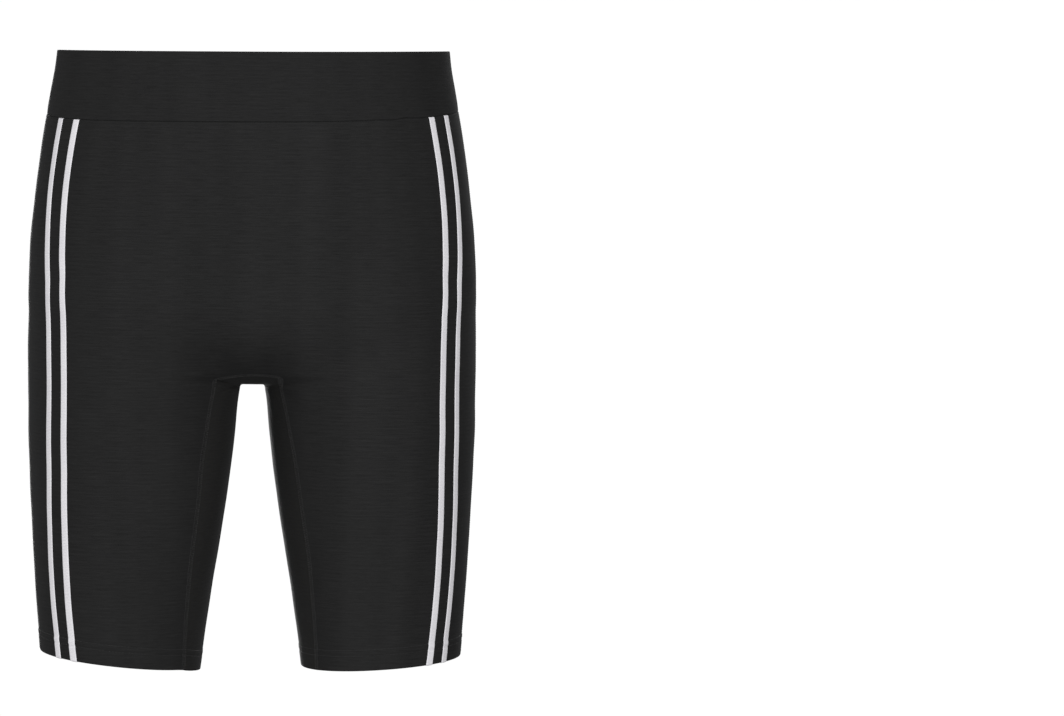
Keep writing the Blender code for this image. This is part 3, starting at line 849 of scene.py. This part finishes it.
def tape_knit(name):
    """White knitted tape: small bright loops with grey between them."""
    made, tree, shader = nodes_of(name)
    cloth = add(tree, "ShaderNodeUVMap", uv_map="Cloth").outputs["UV"]
    loops = noise(tree, cloth, (11.0, 8.0, 1.0), 2.0, 0.75)
    rows = add(
        tree,
        "ShaderNodeTexWave",
        {"Vector": cloth, "Scale": 2.6, "Distortion": 1.6, "Detail": 2.0, "Detail Scale": 3.0},
        wave_type="BANDS",
        bands_direction="Y",
        wave_profile="SIN",
    ).outputs["Fac"]
    soil = noise(tree, cloth, (0.5, 0.35, 1.0), 3.0, 0.5)
    amount = weighted(tree, (loops, 1.5), (rows, 0.30), (soil, 0.4))
    tree.links.new(
        shade(tree, amount, (0.60, 0.58, 0.63), (0.90, 0.895, 0.905)),
        shader.inputs["Base Color"],
    )
    height = math_node(tree, "MULTIPLY_ADD", rows, 0.5, 0.0)
    height = math_node(tree, "MULTIPLY_ADD", loops, 0.9, height)
    made_bump = add(
        tree, "ShaderNodeBump", {"Height": height, "Strength": 0.45, "Distance": 0.0003}
    )
    tree.links.new(made_bump.outputs["Normal"], shader.inputs["Normal"])
    roughness = math_node(tree, "MULTIPLY_ADD", loops, 0.2, 0.5)
    tree.links.new(roughness, shader.inputs["Roughness"])
    shader.inputs["Specular IOR Level"].default_value = 0.3
    shader.inputs["Sheen Weight"].default_value = 0.05
    return made


def yarn(name, low, high):
    """Sewing thread: twisted, so it is streaked along its length."""
    made, tree, shader = nodes_of(name)
    place = add(tree, "ShaderNodeTexCoord").outputs["Object"]
    ply = noise(tree, place, (2600.0, 2600.0, 2600.0), 2.0, 0.6)
    soft = noise(tree, place, (120.0, 120.0, 120.0), 2.0, 0.5)
    amount = weighted(tree, (ply, 1.4), (soft, 0.5))
    tree.links.new(shade(tree, amount, low, high), shader.inputs["Base Color"])
    made_bump = add(
        tree, "ShaderNodeBump", {"Height": ply, "Strength": 0.4, "Distance": 0.0001}
    )
    tree.links.new(made_bump.outputs["Normal"], shader.inputs["Normal"])
    roughness = math_node(tree, "MULTIPLY_ADD", ply, 0.2, 0.45)
    tree.links.new(roughness, shader.inputs["Roughness"])
    shader.inputs["Specular IOR Level"].default_value = 0.35
    shader.inputs["Sheen Weight"].default_value = 0.12
    return made


def floor_paint(name):
    made, tree, shader = nodes_of(name)
    place = add(tree, "ShaderNodeTexCoord").outputs["Object"]
    amount = weighted(tree, (noise(tree, place, (3.0, 3.0, 3.0), 3.0, 0.5), 0.5))
    tree.links.new(
        shade(tree, amount, (0.88, 0.88, 0.88), (0.93, 0.93, 0.93)), shader.inputs["Base Color"]
    )
    roughness = math_node(
        tree, "MULTIPLY_ADD", noise(tree, place, (40.0, 40.0, 40.0), 2.0, 0.5), 0.1, 0.75
    )
    tree.links.new(roughness, shader.inputs["Roughness"])
    shader.inputs["Specular IOR Level"].default_value = 0.2
    shader.inputs["Emission Color"].default_value = (1.0, 1.0, 1.0, 1.0)
    shader.inputs["Emission Strength"].default_value = 0.30
    return made


BODY = knit("body_knit", (0.0172, 0.0172, 0.0173), 0.40, 3.0, 1.0, 0.82, 0.02, 0.05, 0.28)
BAND = knit("band_knit", (0.0168, 0.0168, 0.0169), 0.36, 3.0, 1.1, 0.84, 0.02, 0.05, 0.26)
# The gusset's copy of the knit is a little lighter than the body knit: painted light that makes up for the
# shade the inner legs and crotch get from each other.
GUSSET_PAINTED_LIGHTER = knit("gusset_knit", (0.0188, 0.0186, 0.0182), 0.34, 4.6, 2.2, 0.86, 0.02, 0.05, 0.24)
WHITE = tape_knit("stripe_tape")
SEAM_YARN = yarn("seam_yarn", (0.009, 0.009, 0.0093), (0.0175, 0.0175, 0.018))
HEM_YARN = yarn("hem_yarn", (0.010, 0.010, 0.010), (0.021, 0.021, 0.0215))


# ---------------------------------------------------------------- cloth
front, front_band = both_halves(back=False)
back, back_band = both_halves(back=True)
for a, b in ((front, back), (front_band, back_band)):
    for c in (0, -1):
        a[:, c] = b[:, c] = (a[:, c] + b[:, c]) / 2

first, last = COLS - LEG_START, COLS + LEG_START


def gusset_path():
    """The edge along the gusset, as (row, column), from the right hem to the left one."""
    path = [(r, first) for r in range(ROWS, TORSO_ROWS, -1)]
    path += [(TORSO_ROWS, c) for c in range(first, last + 1)]
    return path + [(r, last) for r in range(TORSO_ROWS + 1, ROWS + 1)]


PATH = np.array(gusset_path())
GUSSET_ACROSS = np.concatenate([[0.0], graded((0, 0.3), (1.2, 0.5), (4, 1.0), (24, 1.1), (34, 3.0), (90, 3.4), (176, 1.6), (180 - 1.2, 0.5), (180, 0.3))[1:]])
side_seam = {"right": front[:, 0, :3], "left": front[:, -1, :3]}
waist_line = np.concatenate([front[0, :, :3], back[0, ::-1, :3]])
front_line = front[PATH[:, 0], PATH[:, 1], :3]
back_line = back[PATH[:, 0], PATH[:, 1], :3]


def gusset_grid():
    """From the front seam to the back one, round the inner legs and under the crotch."""
    across = GUSSET_ACROSS
    n = len(PATH)
    grid = np.zeros((n, len(across), 3))
    a, b = front_line[:, None, :], back_line[:, None, :]
    turn = across[None, :] * math.pi
    lift = np.sin(turn)
    y = (a[..., 1] + b[..., 1]) / 2 - (b[..., 1] - a[..., 1]) / 2 * np.cos(turn)
    x = a[..., 0] + (b[..., 0] - a[..., 0]) * across
    z = a[..., 2] + (b[..., 2] - a[..., 2]) * across
    on_leg = (PATH[:, 0] > TORSO_ROWS)[:, None]
    side = np.where(PATH[:, 1] > COLS, 1.0, -1.0)[:, None]
    # Below the corners the rows dip towards the inner side, less and less further down.
    below = np.maximum(CROTCH_CORNER_Z - z, 0.0)
    z_leg = z - 6.5 * np.exp(-below / 14.0) * lift
    target = side * (leg("middle", z_leg) - leg("half_width", z_leg))
    x_leg = x + (target - x) * lift
    corner = np.abs(front[TORSO_ROWS, COLS : COLS + LEG_START + 1, 0])
    out = corner[np.abs(PATH[:, 1] - COLS)][:, None] / corner[-1]
    x_mid = x + (side * 9.5 * out - x) * lift
    z_mid = z + (-270.2 - 3.4 * out**4 - z) * lift
    grid[..., 0] = np.where(on_leg, x_leg, x_mid)
    grid[..., 1] = y
    grid[..., 2] = np.where(on_leg, z_leg, z_mid)
    grid[:, 0], grid[:, -1] = front_line, back_line
    ends = grid[[0, -1]].copy()
    grid = onto_surface(grid, (1, 1, 1), steps=3)
    ends[..., 2] += 0.75 * (hem_height(ends[..., 0]) - ends[..., 2])
    ends = onto_surface(ends, (1, 1, 0), steps=4)
    # Relaxed, so that the rows are evenly spread, and put back on the surface.
    for _ in range(4):
        for _ in range(8):
            grid[0], grid[-1] = ends
            grid[:, 0], grid[:, -1] = front_line, back_line
            inner = grid[1:-1, 1:-1]
            along = (grid[:-2, 1:-1] + grid[2:, 1:-1]) / 2
            inner += 0.5 * (along - inner)
        grid[1:-1, 1:-1] = onto_surface(grid[1:-1, 1:-1], (1, 1, 1), steps=1)
    grid[1:-1, 1:-1] = onto_surface(grid[1:-1, 1:-1], (1, 1, 1), steps=1)
    return grid


gusset = gusset_grid()


def hem_gap(p):
    """Height above the leg end."""
    return p[..., 2] - hem_height(p[..., 0])


def outer_relief(p, where, seams):
    """How far the cloth's outer face lies inside the smooth surface."""
    deep = waves(p) * ease(hem_gap(p) / 30.0)
    fade = np.ones(p.shape[:-1])
    for gap, radius, flat in seams:
        deep = deep + rolled(gap, radius)
        if flat:
            # A flat seam's own band stands up a little, and ends in a soft step.
            deep = deep - 0.09 * ease((3.2 - gap) / 1.6)
            fade = fade * ease((gap - 1.0) / 2.5)
    deep = deep + folds(p, where) * (1.0 if where == "gusset" else np.maximum(fade, 0.35))
    hem = hem_gap(p)
    # The turned-up hem is thicker below its stitches, which pull it in along two rows.
    deep = deep - 0.42 * ease((HEM_ROWS[0] + 1.6 - hem) / 2.2)
    for row in HEM_ROWS:
        deep = deep + 0.30 * np.exp(-(((hem - row) / 0.9) ** 2))
    return deep + rolled(hem, 0.85)


def inner_depth(p, deep, seams):
    """How far the inner face lies inside the smooth surface."""
    hem = hem_gap(p)
    thick = KNIT + (DOUBLE - KNIT) * ease((HEM_DEPTH + 0.4 - hem) / 0.7)
    soft = deep
    for gap, radius, _ in seams:
        soft = soft - 1.9 * rolled(gap, radius)
    return soft - 1.9 * rolled(hem, 0.85) + thick


def cloth_places(grid, from_side, offset):
    """Place of each point on the flat cloth, in cm: across, then up."""
    half = grid.shape[1] // 2
    sign = np.where(np.arange(grid.shape[1]) < half, -1.0, 1.0)[None, :]
    # Near the middle, upright lines on the cloth are upright on the wearer too.
    plain = grid[..., 0] / 10.0 * 1.16
    share = ease((np.abs(grid[..., 0]) - 60.0) / 80.0)
    wide = sign * (25.0 - from_side / 10.0)
    across = plain * (1 - share) + wide * share
    return np.stack([across + offset, grid[..., 2] / 10.0], axis=-1)


def make_panel(name, grid, line, where, finish, offset):
    p, from_side = grid[..., :3], grid[..., 3]
    to_gusset = to_line(p, line)
    to_side = np.minimum(from_side, 12.0)
    to_waist = np.maximum(p[0, :, 2][None, :] - p[:, :, 2], 0.0)
    seams = ((to_gusset, 0.45, True), (to_side, 0.45, True), (to_waist, 0.95, False))
    normal = outward(p)
    deep = outer_relief(p, where, seams)
    outer = p - normal * deep[..., None]
    # Inside, the seam allowance of the waist seam makes a low ridge.
    depth = inner_depth(p, deep, seams) + 0.7 * ease((6.5 - to_waist) / 0.8)
    inner = p - normal * depth[..., None]
    rows, cols = np.meshgrid(np.arange(ROWS), np.arange(2 * COLS), indexing="ij")
    keep = (rows < TORSO_ROWS) | (cols < first) | (cols >= last)
    quads = np.stack([rows[keep], cols[keep]], axis=1)
    places = cloth_places(p, from_side, offset)
    obj = shell(name, outer, inner, quads, places, finish)
    return obj, outer, inner, normal, places


front_obj, front_outer, front_inner, front_normal, front_places = make_panel(
    "front_panel_cloth", front, front_line, "front", BODY, 0.0
)
back_obj, back_outer, back_inner, back_normal, back_places = make_panel(
    "back_panel_cloth", back, back_line, "back", BODY, 61.0
)


def make_gusset():
    p = gusset
    seams = (
        (to_line(p, front_line), 0.45, True),
        (to_line(p, back_line), 0.45, True),
    )
    normal = outward(p)
    deep = outer_relief(p, "gusset", seams)
    outer = p - normal * deep[..., None]
    inner = p - normal * inner_depth(p, deep, seams)[..., None]
    rows, cols = p.shape[0] - 1, p.shape[1] - 1
    quads = np.stack(np.meshgrid(np.arange(rows), np.arange(cols), indexing="ij"), -1)
    along = np.concatenate([[0], np.cumsum(np.linalg.norm(np.diff(front_line, axis=0), axis=1))])
    over = np.concatenate(
        [
            np.zeros((len(p), 1)),
            np.cumsum(np.linalg.norm(np.diff(p, axis=1), axis=2), axis=1),
        ],
        axis=1,
    )
    # The grain runs along the strip, so its fine ribs are upright on the legs.
    places = np.stack([over / 10.0 + 140.0, np.broadcast_to(along[:, None], over.shape) / 10.0], -1)
    return shell("gusset_cloth", outer, inner, quads.reshape(-1, 2), places, GUSSET_PAINTED_LIGHTER)


gusset_obj = make_gusset()


def make_band():
    ring = np.concatenate([front_band[:, :-1], back_band[:, ::-1][:, :-1]], axis=1)
    p, from_side = ring[..., :3], ring[..., 3]
    normal = outward(p)
    to_top = p[0, :, 2][None, :] - p[..., 2]
    to_seam = p[..., 2] - p[-1, :, 2][None, :]
    # The knit stands proud of the panels; its lower edge rolls in to the seam.
    proud = 0.35 * ease(to_seam / 7.0) + 0.18
    ripple = 0.10 * np.sin(p[..., 0] / 9.0 + 1.0) * np.sin(p[..., 1] / 11.0 + 2.0)
    ripple = ripple * np.exp(-((to_seam / 6.0) ** 2))
    deep = waves(p) * 0.8 - proud + ripple + rolled(to_top, 0.85) + rolled(to_seam, 0.95)
    soft = waves(p) * 0.8 - proud - 0.9 * rolled(to_top, 0.85) - 0.9 * rolled(to_seam, 0.95)
    # Inside, the allowance turned up from the seam.
    soft = soft + DOUBLE + 0.75 * ease((7.0 - to_seam) / 0.8)
    outer = p - normal * deep[..., None]
    inner = p - normal * soft[..., None]
    cols = p.shape[1]
    sign = np.where(p[..., 0] < 0, -1.0, 1.0)
    share = ease((np.abs(p[..., 0]) - 60.0) / 80.0)
    across = p[..., 0] / 10.0 * 1.16 * (1 - share) + sign * (25.0 - from_side / 10.0) * share
    behind = np.arange(cols)[None, :] > 2 * COLS
    across = across + np.where(behind, 61.0, 0.0) + 7.0
    places = np.stack([across, p[..., 2] / 10.0 + 90.0], axis=-1)
    quads = np.stack(np.meshgrid(np.arange(BAND_ROWS), np.arange(cols), indexing="ij"), -1)
    return shell("waistband_cloth", outer, inner, quads.reshape(-1, 2), places, BAND, wrap=True)


band_obj = make_band()


# ---------------------------------------------------------------- stripe tapes
def make_tape(name, outer, inner, normal, places, column):
    """A tape on the panel, tucked in at the waist and turned up inside the hem."""
    cols = slice(column, column + TAPE_COLS + 1)
    over = outer[:, cols]
    way = normal[:, cols]
    up_to = int(np.argmax(hem_gap(inner[:, column][::-1]) > HEM_DEPTH - 1.0))
    turned = inner[::-1][1:up_to, cols]
    turned_way = -normal[::-1][1:up_to, cols]
    base = np.concatenate([over, turned])
    way = np.concatenate([way, turned_way])
    # Round the fold the way out turns down, from the outer face to the inner one.
    fold = len(over)
    for k in range(-3, 3):
        t = (k + 3.0) / 5.0
        down = np.array([0.0, 0.0, -1.0]) * math.sin(math.pi * t)
        way[fold + k] = way[fold + k] * abs(math.cos(math.pi * t)) + down
    way /= np.linalg.norm(way, axis=2)[..., None]
    across = ACROSS_TAPE * TAPE_WIDTH
    edge = np.minimum(across, TAPE_WIDTH - across)
    height = TAPE * np.sqrt(np.clip(1 - (1 - np.minimum(edge / 0.5, 1.0)) ** 2, 0, 1))
    height = np.maximum(height, 0.03)[None, :] * np.ones((len(base), 1))
    run = np.concatenate(
        [[0], np.cumsum(np.linalg.norm(np.diff(base[:, 2], axis=0), axis=1))]
    )
    height = height * (0.35 + 0.65 * ease(run / 1.6))[:, None]
    top = base + way * height[..., None]
    bottom = base - way * 0.12
    flat = np.concatenate([places[:, cols], places[::-1][1:up_to, cols]])
    flat = np.stack(
        [
            flat[..., 0] * 0 + across[None, :] / 10.0 + column * 3.7,
            np.broadcast_to(-run[:, None] / 10.0, flat.shape[:2]),
        ],
        -1,
    )
    quads = np.stack(
        np.meshgrid(np.arange(len(base) - 1), np.arange(TAPE_COLS), indexing="ij"), -1
    ).reshape(-1, 2)
    return shell(name, top, bottom, quads, flat, WHITE)


tapes = {}
for where, outer, inner, normal, places in (
    ("front", front_outer, front_inner, front_normal, front_places),
    ("back", back_outer, back_inner, back_normal, back_places),
):
    for side, sign in (("right", -1), ("left", 1)):
        for place, k in (("inner", FIRST_STRIPE), ("outer", SECOND_STRIPE)):
            column = COLS + k if sign > 0 else COLS - k - TAPE_COLS
            node = f"stripe_{where}_{side}_{place}"
            tapes[node] = make_tape(f"{node}_tape", outer, inner, normal, places, column)


# ---------------------------------------------------------------- stitches
def tree_of(*objects):
    points, faces = [], []
    count = 0
    for obj in objects:
        mesh = obj.data
        co = np.empty(len(mesh.vertices) * 3)
        mesh.vertices.foreach_get("co", co)
        co = co.reshape(-1, 3) / MM
        ids = np.empty(len(mesh.loops), np.int64)
        mesh.loops.foreach_get("vertex_index", ids)
        faces.append(ids.reshape(-1, 4) + count)
        points.append(co)
        count += len(co)
    return BVHTree.FromPolygons(
        np.concatenate(points).tolist(), np.concatenate(faces).tolist()
    )


cloth_tree = tree_of(front_obj, back_obj, gusset_obj, band_obj)


def laid_on(points, way, height):
    """Puts points on the cloth, at a height above it, looking down from outside."""
    out = np.array(points, float)
    for k, (p, w) in enumerate(zip(points, way)):
        start = Vector(p + w * 3.0)
        hit = cloth_tree.ray_cast(start, Vector(-w), 6.0)
        if hit[0] is not None:
            out[k] = np.array(hit[0]) + w * height[k]
        else:
            out[k] = p + w * height[k]
    return out


def seam_frame(line, way):
    along = np.gradient(line, axis=0)
    along /= np.maximum(np.linalg.norm(along, axis=1), 1e-9)[:, None]
    across = np.cross(way, along)
    across /= np.maximum(np.linalg.norm(across, axis=1), 1e-9)[:, None]
    return across


def smooth_line(line, passes):
    line = line.copy()
    for _ in range(passes):
        line[1:-1] = (line[:-2] + 2 * line[1:-1] + line[2:]) / 4
    return line


def flat_seam(threads, line, trim=(1.2, 1.2)):
    """Two rows of needle thread with a ladder of looped thread between them."""
    fine = evenly(line, 0.5)
    fine = smooth_line(fine, 26)
    per = 8  # points a stitch
    path = evenly(fine, STITCH / per)
    run = np.concatenate([[0], np.cumsum(np.linalg.norm(np.diff(path, axis=0), axis=1))])
    keep = (run > trim[0]) & (run < run[-1] - trim[1])
    path = path[keep]
    way = outward(path)
    across = smooth_line(seam_frame(path, way), 10)
    t = np.arange(len(path)) / per
    # The ladder: over to one side, a short step along, and back.
    phase = t % 1.0
    swing = np.where(
        phase < 0.38,
        -1 + 2 * ease(phase / 0.38),
        np.where(phase < 0.5, 1.0, np.where(phase < 0.88, 1 - 2 * ease((phase - 0.5) / 0.38), -1.0)),
    )
    wide = FLAT_SEAM * (1 + 0.04 * np.sin(t * 0.9) + 0.03 * np.sin(t * 2.3 + 1))
    ladder = path + across * (swing * wide)[:, None]
    lift = 0.03 + 0.07 * (1 - np.abs(swing))
    ladder = laid_on(ladder, way, lift)
    threads.add(ladder, THREAD, way, sides=5)
    for side in (-1, 1):
        row = path + across * (side * (wide - 0.35))[:, None]
        dip = 0.17 * np.cos(2 * math.pi * (t + 0.1 * side))
        row = laid_on(row, way, 0.02 + dip)
        threads.add(row[::2], THREAD * 0.95, way[::2], sides=5)


def hem_stitches(threads, loop):
    """One row of short stitches round a leg, each between two small holes."""
    closed = np.concatenate([loop, loop[:1]])
    path = evenly(closed, HEM_STITCH / 8)[:-1]
    count = len(path) // 8
    for k in range(count):
        piece = path[k * 8 : k * 8 + 7]
        if len(piece) < 7:
            continue
        out = outward(piece)
        bow = np.sin(np.linspace(0, math.pi, 7))
        laid = laid_on(piece, out, -0.16 + 0.30 * bow**0.7)
        threads.add(laid, THREAD * 0.95, out, sides=5)


inseam = Threads()
flat_seam(inseam, front_line)
inseam_front = inseam.make("front_gusset_stitches", SEAM_YARN)
inseam = Threads()
flat_seam(inseam, back_line)
inseam_back = inseam.make("back_gusset_stitches", SEAM_YARN)
sides = {}
for name, line in side_seam.items():
    threads = Threads()
    flat_seam(threads, line)
    sides[name] = threads.make(f"{name}_side_stitches", SEAM_YARN)


def leg_loop(side, height):
    """A closed line round one leg at a height above the leg end."""
    lines = []
    for grid, line, reverse in ((front, front_line, False), (back, back_line, True)):
        p = grid[TORSO_ROWS:, :, :3]
        cols = range(2 * COLS, last - 1, -1) if side > 0 else range(0, first + 1)
        found = []
        for c in cols:
            column = p[:, c]
            gap = hem_gap(column)
            found.append([np.interp(height, gap[::-1], column[::-1, k]) for k in range(3)])
        lines.append(found[::-1] if reverse else found)
    rows = len(PATH)
    span = range(0, rows // 2) if side < 0 else range(rows // 2, rows)
    strip = gusset[list(span)]
    found = []
    for c in range(1, gusset.shape[1] - 1):
        column = strip[:, c]
        gap = hem_gap(column)
        order = np.argsort(gap)
        found.append([np.interp(height, gap[order], column[order, k]) for k in range(3)])
    loop = np.array(lines[0] + found + lines[1][0:-1])
    return loop


hems = {}
for name, side in (("right", -1), ("left", 1)):
    threads = Threads()
    for height in HEM_ROWS:
        hem_stitches(threads, leg_loop(side, height))
    hems[name] = threads.make(f"{name}_hem_stitches", HEM_YARN)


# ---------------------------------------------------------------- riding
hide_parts("front_panel")
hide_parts("back_panel")
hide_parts("gusset")
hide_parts("waistband")
for obj, slot in (
    (front_obj, "body_knit"),
    (back_obj, "body_knit"),
    (gusset_obj, "gusset_knit"),
    (band_obj, "band_knit"),
    (inseam_front, "gusset_knit"),
    (inseam_back, "gusset_knit"),
    (sides["right"], "body_knit"),
    (sides["left"], "body_knit"),
    (hems["right"], "body_knit"),
    (hems["left"], "body_knit"),
):
    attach(obj, "root")
for node, obj in tapes.items():
    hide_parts(node)
    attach(obj, "root")

# The cut of what shows, in metres: width, length and area, before the knit is stretched
# round the wearer's form.
CUT_COLUMNS = ("piece", "width", "length", "area")


# ---------------------------------------------------------------- stage, light, camera
def area_light(name, azimuth, elevation, reach, size, power, colour=(1, 1, 1), aim=(0, 0, -0.25)):
    """Azimuth is from the front towards the wearer's left, both angles in degrees."""
    a, e = math.radians(azimuth), math.radians(elevation)
    way = Vector((math.sin(a) * math.cos(e), -math.cos(a) * math.cos(e), math.sin(e)))
    data = bpy.data.lights.new(name, "AREA")
    data.shape = "RECTANGLE"
    data.size, data.size_y = size
    data.energy = power
    data.color = colour
    obj = bpy.data.objects.new(name, data)
    obj.location = Vector(aim) + way * reach
    obj.rotation_euler = way.to_track_quat("Z", "Y").to_euler()
    obj.visible_camera = False
    bpy.context.scene.collection.objects.link(obj)
    return obj


area_light("key", 7.0, 12.0, 4.2, (2.2, 2.2), 143.0, aim=(0, 0, -0.30))
area_light("fill", 152.0, 24.0, 4.0, (2.0, 2.0), 62.0)
area_light("edge", -170.0, 4.0, 3.2, (0.4, 2.2), 125.0)

floor_mesh = bpy.data.meshes.new("floor")
ring = [(3.2 * math.cos(k * math.tau / 96), 3.2 * math.sin(k * math.tau / 96), 0.0) for k in range(96)]
floor_mesh.from_pydata(ring, [], [list(range(96))])
floor = bpy.data.objects.new("floor", floor_mesh)
floor.location = (0.0, 0.0, -1.0)
floor_mesh.materials.append(floor_paint("floor_paint"))
bpy.context.scene.collection.objects.link(floor)
# It is far below, and throws no light back up.
floor.visible_diffuse = False
floor.visible_glossy = False

world = bpy.data.worlds.new("studio")
bpy.context.scene.world = world
world.use_nodes = True
sky = world.node_tree
ambient = sky.nodes["Background"]
ambient.inputs["Color"].default_value = (1.0, 1.0, 1.0, 1.0)
# The soft light of the room comes more from above and from the wearer's right.
way_in = add(sky, "ShaderNodeSeparateXYZ", {0: add(sky, "ShaderNodeTexCoord").outputs["Generated"]})
aside_share = math_node(sky, "MULTIPLY_ADD", way_in.outputs[0], -0.72, 1.0)
room = math_node(sky, "MULTIPLY_ADD", way_in.outputs[2], 0.16, aside_share)
sky.links.new(math_node(sky, "MULTIPLY", room, 0.37), ambient.inputs["Strength"])
seen = add(sky, "ShaderNodeBackground", {"Color": (1.0, 1.0, 1.0, 1.0), "Strength": 1.02})
which = add(
    sky,
    "ShaderNodeMixShader",
    {
        0: add(sky, "ShaderNodeLightPath").outputs["Is Camera Ray"],
        1: ambient.outputs[0],
        2: seen.outputs[0],
    },
)
sky.links.new(which.outputs[0], sky.nodes["World Output"].inputs["Surface"])

# Level with the waist and a little to the wearer's right; turned so that the shorts
# fill the left half of the frame.
CAMERA_REACH = 4.0
CAMERA_AZIMUTH, CAMERA_PAN, CAMERA_PITCH, CAMERA_ROLL = 0.913, 3.244, 3.545, -0.500
aside, pan, pitch, roll = (
    math.radians(a) for a in (CAMERA_AZIMUTH, CAMERA_PAN, CAMERA_PITCH, CAMERA_ROLL)
)
camera_data = bpy.data.cameras.new("camera")
camera_data.sensor_width = 36.0
camera_data.lens = 167.13
camera = bpy.data.objects.new("camera", camera_data)
ahead = Vector((math.sin(aside), math.cos(aside), 0.0))
across = Vector((math.cos(aside), -math.sin(aside), 0.0))
across, ahead = (
    across * math.cos(pan) - ahead * math.sin(pan),
    across * math.sin(pan) + ahead * math.cos(pan),
)
upright = Vector((0.0, 0.0, 1.0))
upright, ahead = (
    upright * math.cos(pitch) + ahead * math.sin(pitch),
    ahead * math.cos(pitch) - upright * math.sin(pitch),
)
across, upright = (
    across * math.cos(roll) - upright * math.sin(roll),
    across * math.sin(roll) + upright * math.cos(roll),
)
camera.location = (-CAMERA_REACH * math.sin(aside), -CAMERA_REACH * math.cos(aside), 0.0)
camera.rotation_euler = Matrix((across, upright, -ahead)).transposed().to_euler()
bpy.context.scene.collection.objects.link(camera)
bpy.context.scene.camera = camera

bpy.context.scene.view_settings.view_transform = "Standard"
bpy.context.scene.view_settings.look = "None"
bpy.context.scene.view_settings.exposure = 0.0
bpy.context.scene.view_settings.gamma = 1.0
